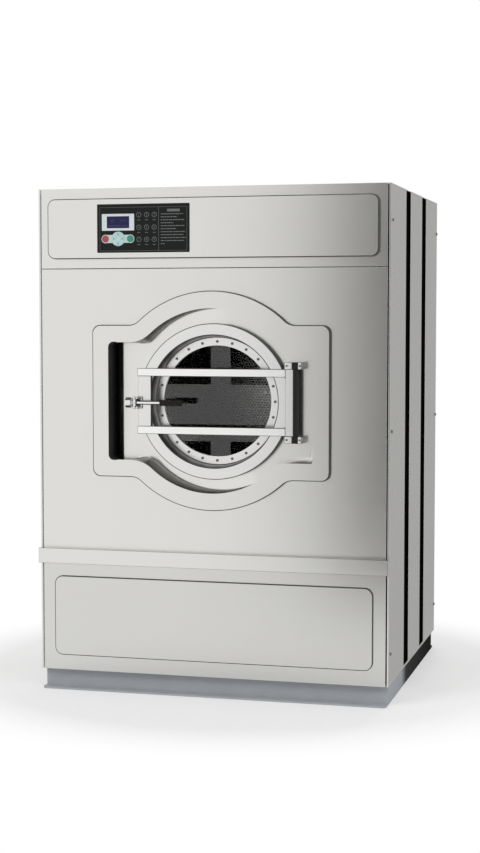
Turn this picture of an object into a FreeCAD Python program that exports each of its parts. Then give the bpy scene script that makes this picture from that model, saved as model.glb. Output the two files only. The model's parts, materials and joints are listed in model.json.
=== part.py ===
"""Industrial front-loading washing machine in a stainless cabinet, as separate pieces.

Millimetres, +Z up, the front faces -Y. Places along Y are measured back from the face of the
front panel, and save() moves each piece to the origin under the middle of the outline.
"""
import FreeCAD
import Part
import math
import os

# Cabinet
CABINET_WIDTH = 1106.0
CABINET_DEPTH = 956.0
CABINET_HEIGHT = 1564.0
BASE_HEIGHT = 62.0
SHEET = 2.0
PANEL_RETURN = 25.0
CORNER_HEM = 5.0
CORNER_HEM_DEPTH = 12.0
CORNER_REVEAL = 4.0
SEAM_GAP = 2.0
POST_SIZE = 40.0

# Base frame
RAIL_PLATE = 6.0
RAIL_INSET = 6.0
RAIL_SETBACK = 28.0
FOOT_WIDTH = 38.0
SIDE_FOOT_WIDTH = 40.0
FOOT_CORNER = 12.0
ANCHOR_RADIUS = 7.0
ANCHOR_SPACING = 900.0
CROSSBAR_WIDTH = 60.0
CROSSBAR_HEIGHT = 40.0

# Front face fields
HEADER_HEIGHT = 246.0
FASCIA_SIDE_MARGIN = 34.0
FASCIA_HEIGHT = 184.0
FASCIA_TOP_MARGIN = 32.0
FASCIA_PROUD = 12.0
FASCIA_CORNER = 24.0
TRIM_DROP = 513.0
TRIM_HEIGHT = 47.0
TRIM_PROUD = 22.0
ACCESS_SIDE_MARGIN = 47.0
ACCESS_TOP_MARGIN = 41.0
ACCESS_BOTTOM_MARGIN = 47.0
ACCESS_PROUD = 6.0
ACCESS_CORNER = 26.0
FIELD_LAND = 14.0

# Side panels with their recessed bands
BAND_START = 284.0
BAND_WIDTH = 92.0
BAND_SPACING = 326.0
BAND_DEPTH = 10.0
BAND_SILL = 8.0
SCREW_HEAD_RADIUS = 5.0
SCREW_HEAD_HEIGHT = 3.0
SCREW_EDGE = 34.0
REAR_SCREW_EDGE = 10.0
SCREW_BOTTOM_MARGIN = 95.0
SCREW_MIDDLE_RISE = 671.0
SCREW_TOP_MARGIN = 107.0

# Keypad, display and keys, with places across and down from the keypad's top left corner
KEYPAD_WIDTH = 295.0
KEYPAD_HEIGHT = 148.0
KEYPAD_LEFT = -356.0
KEYPAD_THICKNESS = 3.0
KEYPAD_CORNER = 6.0
KEYPAD_LAND = 12.0
DISPLAY_WIDTH = 104.0
DISPLAY_HEIGHT = 51.0
DISPLAY_CENTRE = (68.0, 55.5)
DISPLAY_PROUD = 1.2
DISPLAY_CORNER = 4.0
KEY_ROW = 106.0
STOP_KEY_X = 27.5
START_KEY_X = 107.5
NAV_KEY_X = 68.5
ROUND_KEY_RADIUS = 10.6
NAV_RADIUS = 20.5
ENTER_RADIUS = 9.0
KEY_GAP = 0.3
KEY_PROUD = 2.5
KEY_TRAVEL = 1.2
KEY_FLANGE = 2.5
KEY_FLANGE_THICKNESS = 2.0
BOARD_THICKNESS = 2.0
BOARD_STANDOFF = 14.0
BOARD_POST_RADIUS = 5.0

# Door surround, its hand recess and the shallow recess at the hinge
DOOR_X = 21.0
DOOR_DROP = 404.0
SURROUND_HALF_WIDTH = 374.0
SURROUND_HALF_HEIGHT = 234.0
SURROUND_ARC_RADIUS = 335.0
SURROUND_ARC_X = 6.0
SURROUND_LOBE_DROP = 3.0
SURROUND_CORNER = 24.0
SURROUND_BLEND = 50.0
SURROUND_PROUD = 14.0
RECESS_INSET = 53.0
RECESS_CORNER = 15.0
RECESS_DRAFT = 0.35
RECESS_FADE_X = 15.0
RECESS_SLOPE = 0.14
SLOT_WIDTH = 26.0
SLOT_CORNER = 9.0
SLOT_DEPTH = 90.0
SLOT_WALL = 2.0
HINGE_RECESS_FADE_X = 205.0
HINGE_RECESS_SLOPE = 0.065

# Door
GLASS_CLEAR_RADIUS = 169.0
CLAMP_WIDTH = 24.5
CLAMP_THICKNESS = 3.0
CLAMP_FACE_Y = 6.0
CLAMP_BOLTS = 24
BOLT_RADIUS = 4.0
BOLT_CLEARANCE = 0.1
BOLT_HEAD_RADIUS = 5.5
BOLT_HEAD_HEIGHT = 3.0
NUT_RADIUS = 6.5
NUT_HEIGHT = 5.0
GLASS_THICKNESS = 8.0
GLASS_LAP = 6.0
DISH_TAPER = 7.0
DISH_SHEET = 2.0
RIM_WIDTH = 36.0
RIM_FACE_Y = -40.0
RIM_CLEARANCE = 3.0
BAR_HEIGHT = 23.5
BAR_THICKNESS = 12.0
BAR_HALF_SPACING = 88.0
BAR_LEFT = 237.0
LATCH_PLATE_WIDTH = 40.0
LATCH_PLATE_INSET = 3.0
HINGE_PLATE_WIDTH = 30.0
HINGE_OFFSET = 256.0
HINGE_TUBE_RADIUS = 9.0
HINGE_PIN_RADIUS = 6.0
RUNNING_GAP = 0.05
FACE_GAP = 0.3
HINGE_BUSH_HEIGHT = 21.0
HINGE_CHEEK = 12.0
HINGE_DOOR_CHEEK = 23.0
HINGE_BUSH_DEPTH = 20.0

# Latch lever
LEVER_STANDOFF = 17.0
LEVER_DROP = 4.0
LEVER_PIVOT_INSET = 4.0
LEVER_PIN_RADIUS = 4.0
LEVER_HUB_RADIUS = 9.0
LEVER_HUB_HEIGHT = 22.0
LEVER_ROD_RADIUS = 6.0
EAR_THICKNESS = 7.0
EAR_ROOT = 14.0
EAR_BACK = 5.0
HEX_FLAT = 27.0
HEX_LENGTH = 17.0
HEX_GAP = 3.0
GRIP_START = 79.0
GRIP_LENGTH = 72.0
GRIP_RADIUS = 10.0
GRIP_RIBS = 9
GRIP_RIB_DEPTH = 1.2
GRIP_CAP = 8.0

# Tub, collar and gasket
COLLAR_GAP = 3.5
COLLAR_SHEET = 3.0
COLLAR_FLANGE = 11.0
COLLAR_CLEARANCE = 1.5
GASKET_INSET = 1.0
TUB_FRONT_Y = 96.0
TUB_DEPTH = 550.0
TUB_SHEET = 4.0
TUB_LIP = 8.0
TUB_REAR_PLATE = 12.0
TUB_GAP = 27.0

# Drum and its shaft
DRUM_RADIUS = 400.0
DRUM_SHEET = 3.0
DRUM_FRONT_GAP = 27.0
DRUM_REAR_GAP = 36.0
DRUM_LIP = 9.0
LIFTERS = 3
LIFTER_HEIGHT = 70.0
LIFTER_BASE = 96.0
LIFTER_TOP = 34.0
SPIDER_RADIUS = 130.0
SPIDER_THICKNESS = 14.0
SHAFT_RADIUS = 35.0
BEARING_RADIUS = 60.0
BEARING_WIDTH = 22.0
HOUSING_RADIUS = 90.0
BEARING_EDGE = 4.0

# Belt drive and motor
PULLEY_WIDTH = 60.0
PULLEY_GAP = 28.0
PULLEY_REAR_GAP = 54.0
PULLEY_RADIUS = 200.0
PULLEY_HUB_RADIUS = 62.0
PULLEY_WEB = 14.0
PULLEY_HOLES = 5
PULLEY_HOLE_RADIUS = 32.0
PULLEY_RIM = 22.0
MOTOR_PULLEY_RADIUS = 50.0
BELTS = 3
BELT_WIDTH = 13.0
BELT_THICKNESS = 9.0
BELT_PITCH = 18.0
GROOVE_DEPTH = 10.0
MOTOR_OFFSET_X = 200.0
MOTOR_RADIUS = 110.0
MOTOR_LENGTH = 240.0
MOTOR_SEAT = 40.0
MOTOR_PULLEY_GAP = 12.0
MOTOR_SHAFT_RADIUS = 14.0
MOTOR_SHAFT_SEAT = 40.0
MOTOR_FEET_WIDTH = 160.0
MOTOR_FEET_LENGTH = 130.0

# Supports, water and electrics
LEG_SPREAD = 290.0
LEG_WIDTH = 90.0
LEG_LENGTH = 60.0
LEG_FRONT = 114.0
LEG_MOTOR_GAP = 28.0
DRAIN_OFFSET_X = -141.0
DRAIN_SETBACK = 304.0
DRAIN_VALVE_RADIUS = 55.0
DRAIN_VALVE_HEIGHT = 190.0
DRAIN_HOLE_RADIUS = 40.0
DRAIN_PIPE_RADIUS = 38.0
DRAIN_PIPE_WALL = 3.0
DRAIN_PIPE_RISE = 48.0
DRAIN_STUB = 60.0
DRAIN_FLANGE_RADIUS = 50.0
DRAIN_FLANGE_THICKNESS = 4.0
INLETS = 2
INLET_OFFSET_X = -300.0
INLET_SPACING = 90.0
INLET_TOP_MARGIN = 140.0
INLET_RADIUS = 13.2
INLET_STUB = 32.0
INLET_COLLAR_RADIUS = 18.0
INLET_COLLAR_LENGTH = 4.0
INLET_BODY_RADIUS = 24.0
INLET_BODY_LENGTH = 70.0
HOSE_RADIUS = 11.0
HOSE_WALL = 3.0
HOSE_BEND = 70.0
HOSE_SETBACK = 458.0
PORT_CLEARANCE = 0.3
GLAND_X = 330.0
GLAND_RADIUS = 20.0
GLAND_BORE = 10.0
GLAND_LENGTH = 22.0
DRIVE_SIZE = (160.0, 150.0, 300.0)
DRIVE_Z = 874.0
HEATERS = 3
HEATER_RADIUS = 6.0
HEATER_STEP = 9.0
HEATER_LENGTH = 430.0
HEATER_TAIL = 22.0
LOCK_WIDTH = 40.0
LOCK_HEIGHT = 84.0
LOCK_DEPTH = 78.0

# Places worked out from the sizes above
HALF_WIDTH = CABINET_WIDTH / 2
SIDE_INNER = HALF_WIDTH - SHEET
FRONT_HALF = HALF_WIDTH - CORNER_HEM - CORNER_REVEAL
REAR_INNER = CABINET_DEPTH - SHEET
TOP_INNER = CABINET_HEIGHT - SHEET
HEADER_SEAM = CABINET_HEIGHT - HEADER_HEIGHT
DOOR_Z = HEADER_SEAM - DOOR_DROP
TRIM_BOTTOM = DOOR_Z - TRIM_DROP
TRIM_SEAM = TRIM_BOTTOM + TRIM_HEIGHT / 2
SCREW_LOWEST = BASE_HEIGHT + SCREW_BOTTOM_MARGIN
SCREW_ZS = (SCREW_LOWEST, SCREW_LOWEST + SCREW_MIDDLE_RISE, CABINET_HEIGHT - SCREW_TOP_MARGIN)
FASCIA_WIDTH = CABINET_WIDTH - 2 * FASCIA_SIDE_MARGIN
FASCIA_Z = CABINET_HEIGHT - FASCIA_TOP_MARGIN - FASCIA_HEIGHT / 2
ACCESS_WIDTH = CABINET_WIDTH - 2 * ACCESS_SIDE_MARGIN
ACCESS_HEIGHT = TRIM_BOTTOM - ACCESS_TOP_MARGIN - BASE_HEIGHT - ACCESS_BOTTOM_MARGIN
ACCESS_Z = BASE_HEIGHT + ACCESS_BOTTOM_MARGIN + ACCESS_HEIGHT / 2
KEYPAD_X = KEYPAD_LEFT + KEYPAD_WIDTH / 2
KEYPAD_TOP = FASCIA_Z + KEYPAD_HEIGHT / 2
KEYPAD_FACE = -FASCIA_PROUD - KEYPAD_THICKNESS
PLATEAU_Y = -SURROUND_PROUD
SLOT_RIGHT = RECESS_INSET - SURROUND_HALF_WIDTH + SLOT_WIDTH
CLAMP_OUTER = GLASS_CLEAR_RADIUS + CLAMP_WIDTH
BOLT_CIRCLE = GLASS_CLEAR_RADIUS + CLAMP_WIDTH / 2
DISH_MOUTH = CLAMP_OUTER + DISH_TAPER
RIM_OUTER = DISH_MOUTH + RIM_WIDTH
GLASS_FRONT_Y = CLAMP_FACE_Y + CLAMP_THICKNESS
GLASS_BACK_Y = GLASS_FRONT_Y + GLASS_THICKNESS
COLLAR_INNER = DISH_MOUTH + DISH_SHEET + COLLAR_GAP
COLLAR_OUTER = COLLAR_INNER + COLLAR_SHEET
DOOR_HOLE = COLLAR_OUTER + COLLAR_CLEARANCE
BAR_FRONT_Y = RIM_FACE_Y - BAR_THICKNESS
BAR_TOP = DOOR_Z + BAR_HALF_SPACING + BAR_HEIGHT / 2
BAR_BOTTOM = DOOR_Z - BAR_HALF_SPACING - BAR_HEIGHT / 2
BAR_LEFT_X = DOOR_X - BAR_LEFT
HINGE_X = DOOR_X + HINGE_OFFSET
HINGE_Y = RIM_FACE_Y - BAR_THICKNESS / 2
HINGE_PLATE_X = HINGE_X - HINGE_PLATE_WIDTH
LATCH_PLATE_X = BAR_LEFT_X + LATCH_PLATE_INSET
LEVER_X = LATCH_PLATE_X - LEVER_PIVOT_INSET
LEVER_Y = BAR_FRONT_Y - LEVER_STANDOFF
LEVER_Z = DOOR_Z - LEVER_DROP
TUB_INNER = DRUM_RADIUS + DRUM_SHEET + TUB_GAP
TUB_OUTER = TUB_INNER + TUB_SHEET
TUB_SHELL_Y = TUB_FRONT_Y + TUB_SHEET
TUB_REAR_Y = TUB_SHELL_Y + TUB_DEPTH
TUB_BACK_Y = TUB_REAR_Y + TUB_REAR_PLATE
DRUM_FRONT_Y = TUB_SHELL_Y + DRUM_FRONT_GAP
DRUM_BACK_Y = TUB_REAR_Y - DRUM_REAR_GAP
PULLEY_BACK_Y = REAR_INNER - PULLEY_REAR_GAP
PULLEY_Y = PULLEY_BACK_Y - PULLEY_WIDTH
HOUSING_BACK_Y = PULLEY_Y - PULLEY_GAP
BELT_MIDDLE_Y = PULLEY_Y + PULLEY_WIDTH / 2
BELT_YS = [BELT_MIDDLE_Y + BELT_PITCH * (index - (BELTS - 1) / 2) for index in range(BELTS)]
MOTOR_X = DOOR_X + MOTOR_OFFSET_X
MOTOR_Z = BASE_HEIGHT + MOTOR_SEAT + MOTOR_RADIUS
MOTOR_BACK_Y = PULLEY_Y - MOTOR_PULLEY_GAP
MOTOR_FRONT_Y = MOTOR_BACK_Y - MOTOR_LENGTH
MOTOR_FEET_Y = (MOTOR_FRONT_Y + MOTOR_BACK_Y) / 2
LEG_YS = [TUB_FRONT_Y + LEG_FRONT, MOTOR_FRONT_Y - LEG_MOTOR_GAP - LEG_LENGTH / 2]
DRAIN_X = DOOR_X + DRAIN_OFFSET_X
DRAIN_Y = TUB_FRONT_Y + DRAIN_SETBACK
DRAIN_TOP = DOOR_Z - math.sqrt(TUB_OUTER ** 2 - DRAIN_OFFSET_X ** 2)
DRAIN_BOTTOM = DRAIN_TOP - DRAIN_VALVE_HEIGHT
DRAIN_PIPE_Z = DRAIN_BOTTOM + DRAIN_PIPE_RISE
INLET_Z = CABINET_HEIGHT - INLET_TOP_MARGIN
INLET_COLLAR_Y = CABINET_DEPTH + INLET_COLLAR_LENGTH
INLET_XS = [INLET_OFFSET_X + index * INLET_SPACING for index in range(INLETS)]
HOSE_DROP_Y = TUB_FRONT_Y + HOSE_SETBACK
FRONT_MOST = LEVER_Y - HEX_FLAT / 2
REAR_MOST = CABINET_DEPTH + DRAIN_STUB
ORIGIN_Y = (FRONT_MOST + REAR_MOST) / 2
PAST = 5.0


def point(x, y, z):
    return FreeCAD.Vector(x, y, z)


def box(x0, x1, y0, y1, z0, z1):
    return Part.makeBox(x1 - x0, y1 - y0, z1 - z0, point(x0, y0, z0))


def rod(centre, axis, radius, length):
    return Part.makeCylinder(radius, length, point(*centre), point(*axis))


def rod_y(x, z, radius, y0, y1):
    return rod((x, y0, z), (0, 1, 0), radius, y1 - y0)


def rod_z(x, y, radius, z0, z1):
    return rod((x, y, z0), (0, 0, 1), radius, z1 - z0)


def rod_x(y, z, radius, x0, x1):
    return rod((x0, y, z), (1, 0, 0), radius, x1 - x0)


def ring_y(x, z, inner, outer, y0, y1):
    return rod_y(x, z, outer, y0, y1).cut(rod_y(x, z, inner, y0 - PAST, y1 + PAST))


def join(shapes):
    return shapes[0].fuse(shapes[1:]).removeSplitter()


def extrude(wire, direction):
    return Part.Face(wire).extrude(point(*direction))


def plan_prism(corners, z0, z1):
    """Extrude a polygon given as (x, y) corners from z0 to z1."""
    wire = Part.makePolygon([point(x, y, z0) for x, y in corners + corners[:1]])
    return extrude(wire, (0, 0, z1 - z0))


def arc(start, middle, end):
    return Part.Arc(start, middle, end).toShape()


def line(start, end):
    return Part.LineSegment(start, end).toShape()


def rounded_rect(x, z, width, height, corner, y):
    """A rectangle with rounded corners in the XZ plane at y."""
    edges = []
    half_w = width / 2 - corner
    half_h = height / 2 - corner
    turns = [(1, 1, 0), (-1, 1, 90), (-1, -1, 180), (1, -1, 270)]
    spots = []
    for side, rise, angle in turns:
        centre = point(x + side * half_w, y, z + rise * half_h)
        for step in (0, 45, 90):
            turn = math.radians(angle + step)
            spots.append(centre + point(corner * math.cos(turn), 0, corner * math.sin(turn)))
    for first in range(0, len(spots), 3):
        edges.append(arc(*spots[first:first + 3]))
        edges.append(line(spots[first + 2], spots[(first + 3) % len(spots)]))
    return Part.Wire(edges)


def rounded_block(x, z, width, height, corner, y0, y1):
    return extrude(rounded_rect(x, z, width, height, corner, y0), (0, y1 - y0, 0))


def raised_pan(x, z, width, height, corner, proud):
    """A shallow pan of sheet standing proud of the front face, open at its back."""
    outer = rounded_block(x, z, width, height, corner, -proud, 0)
    hollow = rounded_block(x, z, width - 2 * SHEET, height - 2 * SHEET, corner - SHEET,
                           SHEET - proud, PAST)
    return outer.cut(hollow)


def folded_panel(z0, z1):
    """A front panel with its four edges folded back."""
    outer = box(-FRONT_HALF, FRONT_HALF, 0, PANEL_RETURN, z0, z1)
    inner_half = FRONT_HALF - SHEET
    hollow = box(-inner_half, inner_half, SHEET, PANEL_RETURN + PAST, z0 + SHEET, z1 - SHEET)
    return outer.cut(hollow)


def surround_corner(side, rise, inset, corner, y):
    """Points from a side lobe round its corner and its blend to the round middle."""
    radius = SURROUND_ARC_RADIUS - inset
    blend = SURROUND_BLEND + inset
    half_height = SURROUND_HALF_HEIGHT - inset - rise * SURROUND_LOBE_DROP
    lobe_x = SURROUND_HALF_WIDTH - inset - side * SURROUND_ARC_X
    blend_z = half_height + blend
    blend_x = math.sqrt((radius + blend) ** 2 - blend_z ** 2)
    to_arc = point(-blend_x, 0, -blend_z)
    to_arc.normalize()
    middle = to_arc + point(0, 0, -1)
    middle.normalize()
    soft = corner * (1 - math.sqrt(0.5))
    spots = [
        (lobe_x, half_height - corner),
        (lobe_x - soft, half_height - soft),
        (lobe_x - corner, half_height),
        (blend_x, half_height),
        (blend_x + blend * middle.x, blend_z + blend * middle.z),
        (blend_x + blend * to_arc.x, blend_z + blend * to_arc.z),
    ]
    return [point(SURROUND_ARC_X + side * px, y, DOOR_Z + rise * pz) for px, pz in spots]


def surround_outline(inset, corner, y):
    """The door surround's outline drawn in by inset: two side lobes and a round middle."""
    radius = SURROUND_ARC_RADIUS - inset
    quarters = {}
    for side in (1, -1):
        for rise in (1, -1):
            quarters[side, rise] = surround_corner(side, rise, inset, corner, y)
    edges = []
    for rise in (1, -1):
        going = quarters[rise, rise]
        coming = quarters[-rise, rise][::-1]
        across = quarters[-rise, -rise]
        edges.append(arc(*going[0:3]))
        edges.append(line(going[2], going[3]))
        edges.append(arc(*going[3:6]))
        edges.append(arc(going[5], point(SURROUND_ARC_X, y, DOOR_Z + rise * radius), coming[0]))
        edges.append(arc(*coming[0:3]))
        edges.append(line(coming[2], coming[3]))
        edges.append(arc(*coming[3:6]))
        edges.append(line(coming[5], across[0]))
    return Part.Wire(edges)


def surround_block(inset, corner, y0, y1):
    return extrude(surround_outline(inset, corner, y0), (0, y1 - y0, 0))


def recess_prism(grow):
    """The recess outline with drafted walls, from in front of the plateau to its deepest."""
    wires = []
    for y in (PLATEAU_Y - PAST, SLOT_DEPTH):
        inset = RECESS_INSET - grow + RECESS_DRAFT * (y - PLATEAU_Y)
        wires.append(surround_outline(inset, RECESS_CORNER, y))
    return Part.makeLoft(wires, True, True)


def hand_floor_y(x):
    return PLATEAU_Y + RECESS_SLOPE * (RECESS_FADE_X - x)


def hinge_floor_y(x):
    return PLATEAU_Y + HINGE_RECESS_SLOPE * (x - HINGE_RECESS_FADE_X)


def recess_wedges(front_y, depth, hand_x):
    """Wedges between a front plane and both sloping recess floors, moved back by depth."""
    z0 = DOOR_Z - SURROUND_ARC_RADIUS
    z1 = DOOR_Z + SURROUND_ARC_RADIUS
    hinge_x = SURROUND_HALF_WIDTH
    hand = [(RECESS_FADE_X, PLATEAU_Y + depth), (hand_x, hand_floor_y(hand_x) + depth),
            (hand_x, front_y), (RECESS_FADE_X, front_y)]
    hinge = [(HINGE_RECESS_FADE_X, PLATEAU_Y + depth), (HINGE_RECESS_FADE_X, front_y),
             (hinge_x, front_y), (hinge_x, hinge_floor_y(hinge_x) + depth)]
    return [plan_prism(hand, z0, z1), plan_prism(hinge, z0, z1)]


def recess_cutter():
    wedges = recess_wedges(PLATEAU_Y - PAST, 0, SLOT_RIGHT - SLOT_WALL)
    prism = recess_prism(0)
    return [prism.common(wedge) for wedge in wedges]


def door_surround():
    """Pressed surround with its sloping recesses, and the dark hand pocket at its left."""
    face = surround_block(0, SURROUND_CORNER, PLATEAU_Y, 0)
    face = face.cut(surround_block(SHEET, SURROUND_CORNER - SHEET, PLATEAU_Y + SHEET, PAST))
    backs = [recess_prism(SHEET).common(wedge) for wedge in recess_wedges(PLATEAU_Y, SHEET, SLOT_RIGHT)]
    cutter = recess_cutter()
    slot_x = SLOT_RIGHT - SLOT_WIDTH / 2
    slot_z = DOOR_Z - SURROUND_LOBE_DROP
    slot_height = 2 * (SURROUND_HALF_HEIGHT - RECESS_INSET)
    slot = (slot_x, slot_z, SLOT_WIDTH, slot_height, SLOT_CORNER)
    through = rounded_block(*slot, PLATEAU_Y - PAST, SLOT_DEPTH + PAST)
    hole = rod_y(DOOR_X, DOOR_Z, DOOR_HOLE, PLATEAU_Y - PAST, SLOT_DEPTH)
    surround = face.fuse(backs).cut(cutter).cut(through).cut(hole)
    pocket = rounded_block(*slot, PLATEAU_Y, SLOT_DEPTH)
    hollow = rounded_block(slot_x, slot_z, SLOT_WIDTH - 2 * SLOT_WALL, slot_height - 2 * SLOT_WALL,
                           SLOT_CORNER - SLOT_WALL, PLATEAU_Y - PAST, SLOT_DEPTH - SLOT_WALL)
    pocket = pocket.cut(hollow).cut(cutter)
    save("door_surround", surround)
    save("hand_pocket", pocket)


def base_frame():
    """Angle rails with outward feet front and back, and side rails between them."""
    half = HALF_WIDTH - RAIL_INSET
    foot_y = RAIL_SETBACK - FOOT_WIDTH
    web_back = RAIL_SETBACK + RAIL_PLATE
    web = box(-half, half, RAIL_SETBACK, web_back, 0, BASE_HEIGHT)
    foot = box(-half, half, foot_y, RAIL_SETBACK, 0, RAIL_PLATE)
    corners = [edge for edge in foot.Edges
               if edge.BoundBox.ZLength > RAIL_PLATE / 2 and edge.BoundBox.YMax < RAIL_SETBACK - PAST]
    foot = foot.makeFillet(FOOT_CORNER, corners)
    rail = join([web, foot])
    for side in (-1, 1):
        x = side * ANCHOR_SPACING / 2
        rail = rail.cut(rod_z(x, RAIL_SETBACK - FOOT_WIDTH / 2, ANCHOR_RADIUS, -PAST, BASE_HEIGHT))
    rear_rail = rail.mirror(point(0, CABINET_DEPTH / 2, 0), point(0, 1, 0))
    side_web = box(half - RAIL_PLATE, half, web_back, CABINET_DEPTH - web_back, 0, BASE_HEIGHT)
    side_foot = box(half - SIDE_FOOT_WIDTH, half, web_back, CABINET_DEPTH - web_back, 0, RAIL_PLATE)
    side_rail = join([side_web, side_foot])
    save("base_rails", rail, rear_rail, side_rail, across(side_rail))


def crossbar(y):
    """A bar between the side rails, centred on y."""
    half = HALF_WIDTH - RAIL_INSET - RAIL_PLATE
    return box(-half, half, y - CROSSBAR_WIDTH / 2, y + CROSSBAR_WIDTH / 2,
               BASE_HEIGHT - CROSSBAR_HEIGHT, BASE_HEIGHT)


def cabinet_frame():
    """Four corner posts that the panels are fixed to."""
    posts = []
    for x in (-SIDE_INNER, SIDE_INNER - POST_SIZE):
        for y in (PANEL_RETURN, REAR_INNER - POST_SIZE):
            posts.append(box(x, x + POST_SIZE, y, y + POST_SIZE, BASE_HEIGHT, TOP_INNER))
    save("corner_posts", *posts)


def front_panels():
    """Header, main and lower panels with the raised fields and the trim across the seam."""
    opening_width = KEYPAD_WIDTH - 2 * KEYPAD_LAND
    opening_height = KEYPAD_HEIGHT - 2 * KEYPAD_LAND
    opening = rounded_block(KEYPAD_X, FASCIA_Z, opening_width, opening_height, KEYPAD_CORNER,
                            -FASCIA_PROUD - PAST, PANEL_RETURN)
    header = folded_panel(HEADER_SEAM + SEAM_GAP / 2, CABINET_HEIGHT).cut(opening)
    fascia = raised_pan(0, FASCIA_Z, FASCIA_WIDTH, FASCIA_HEIGHT, FASCIA_CORNER, FASCIA_PROUD)
    main = folded_panel(TRIM_SEAM + SEAM_GAP / 2, HEADER_SEAM - SEAM_GAP / 2)
    main = main.cut(surround_block(FIELD_LAND, SURROUND_CORNER - FIELD_LAND, -PAST, PANEL_RETURN))
    lower = folded_panel(BASE_HEIGHT, TRIM_SEAM - SEAM_GAP / 2)
    lower = lower.cut(rounded_block(0, ACCESS_Z, ACCESS_WIDTH - 2 * FIELD_LAND,
                                    ACCESS_HEIGHT - 2 * FIELD_LAND, ACCESS_CORNER - FIELD_LAND,
                                    -PAST, PANEL_RETURN))
    access = raised_pan(0, ACCESS_Z, ACCESS_WIDTH, ACCESS_HEIGHT, ACCESS_CORNER, ACCESS_PROUD)
    trim_top = TRIM_BOTTOM + TRIM_HEIGHT
    trim = box(-HALF_WIDTH, HALF_WIDTH, -TRIM_PROUD, 0, TRIM_BOTTOM, trim_top)
    trim = trim.cut(box(SHEET - HALF_WIDTH, HALF_WIDTH - SHEET, SHEET - TRIM_PROUD, PAST,
                        TRIM_BOTTOM + SHEET, trim_top - SHEET))
    save("header_panel", header)
    save("header_fascia", fascia.cut(opening))
    save("front_panel", main)
    save("lower_panel", lower)
    save("access_panel", access)
    save("belt_trim", trim)


def side_panels():
    """Side panels with two tall openings, the dark channels behind them, and their screws."""
    panel = box(SIDE_INNER, HALF_WIDTH, 0, CABINET_DEPTH, BASE_HEIGHT, CABINET_HEIGHT)
    hem = box(HALF_WIDTH - CORNER_HEM, HALF_WIDTH, 0, CORNER_HEM_DEPTH, BASE_HEIGHT, CABINET_HEIGHT)
    panel = join([panel, hem])
    back_x = SIDE_INNER - BAND_DEPTH
    sill = BASE_HEIGHT + BAND_SILL
    bands = []
    for y in (BAND_START, BAND_START + BAND_SPACING):
        band_end = y + BAND_WIDTH
        panel = panel.cut(box(back_x, HALF_WIDTH + PAST, y, band_end, sill, CABINET_HEIGHT + PAST))
        channel = box(back_x, SIDE_INNER, y - SHEET, band_end + SHEET, BASE_HEIGHT, TOP_INNER)
        inside = box(back_x + SHEET, SIDE_INNER + PAST, y, band_end, sill, TOP_INNER + PAST)
        bands.append(channel.cut(inside))
    screws = []
    for y in (SCREW_EDGE, CABINET_DEPTH - REAR_SCREW_EDGE):
        for z in SCREW_ZS:
            head = rod_x(y, z, SCREW_HEAD_RADIUS, HALF_WIDTH, HALF_WIDTH + SCREW_HEAD_HEIGHT)
            screws.append(head)
    save("side_panels", panel, across(panel))
    save("side_bands", *bands, *[across(band) for band in bands])
    for x in (-SIDE_INNER + REAR_SCREW_EDGE, SIDE_INNER - REAR_SCREW_EDGE):
        for z in SCREW_ZS:
            head_y = CABINET_DEPTH + SCREW_HEAD_HEIGHT
            screws.append(rod_y(x, z, SCREW_HEAD_RADIUS, CABINET_DEPTH, head_y))
    lefts = [across(screw) for screw in screws if screw.BoundBox.XMin >= HALF_WIDTH]
    save("panel_screws", *screws, *lefts)


def top_and_rear():
    """Top sheet and the rear panel with its service holes."""
    top = box(-SIDE_INNER, SIDE_INNER, PANEL_RETURN, REAR_INNER, TOP_INNER, CABINET_HEIGHT)
    rear = box(-SIDE_INNER, SIDE_INNER, REAR_INNER, CABINET_DEPTH, BASE_HEIGHT, CABINET_HEIGHT)
    holes = [(DRAIN_X, DRAIN_PIPE_Z, DRAIN_PIPE_RADIUS + PORT_CLEARANCE), (GLAND_X, INLET_Z, GLAND_RADIUS)]
    for x in INLET_XS:
        holes.append((x, INLET_Z, INLET_COLLAR_RADIUS + PORT_CLEARANCE))
    for x, z, radius in holes:
        rear = rear.cut(rod_y(x, z, radius, REAR_INNER - PAST, CABINET_DEPTH + PAST))
    save("top_panel", top)
    save("rear_panel", rear)


def keypad_spot(across_mm, down_mm):
    return KEYPAD_LEFT + across_mm, KEYPAD_TOP - down_mm


def key(across_mm, radius, inner, flange_y):
    """A round key with a flange behind the keypad, ringed where inner is not zero."""
    x, z = keypad_spot(across_mm, KEY_ROW)
    flange_back = flange_y + KEY_FLANGE_THICKNESS
    shape = join([rod_y(x, z, radius, KEYPAD_FACE - KEY_PROUD, flange_back),
                  rod_y(x, z, radius + KEY_FLANGE, flange_y, flange_back)])
    if inner:
        shape = shape.cut(rod_y(x, z, inner, KEYPAD_FACE - KEY_PROUD - PAST, flange_back + PAST))
    return shape


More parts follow.
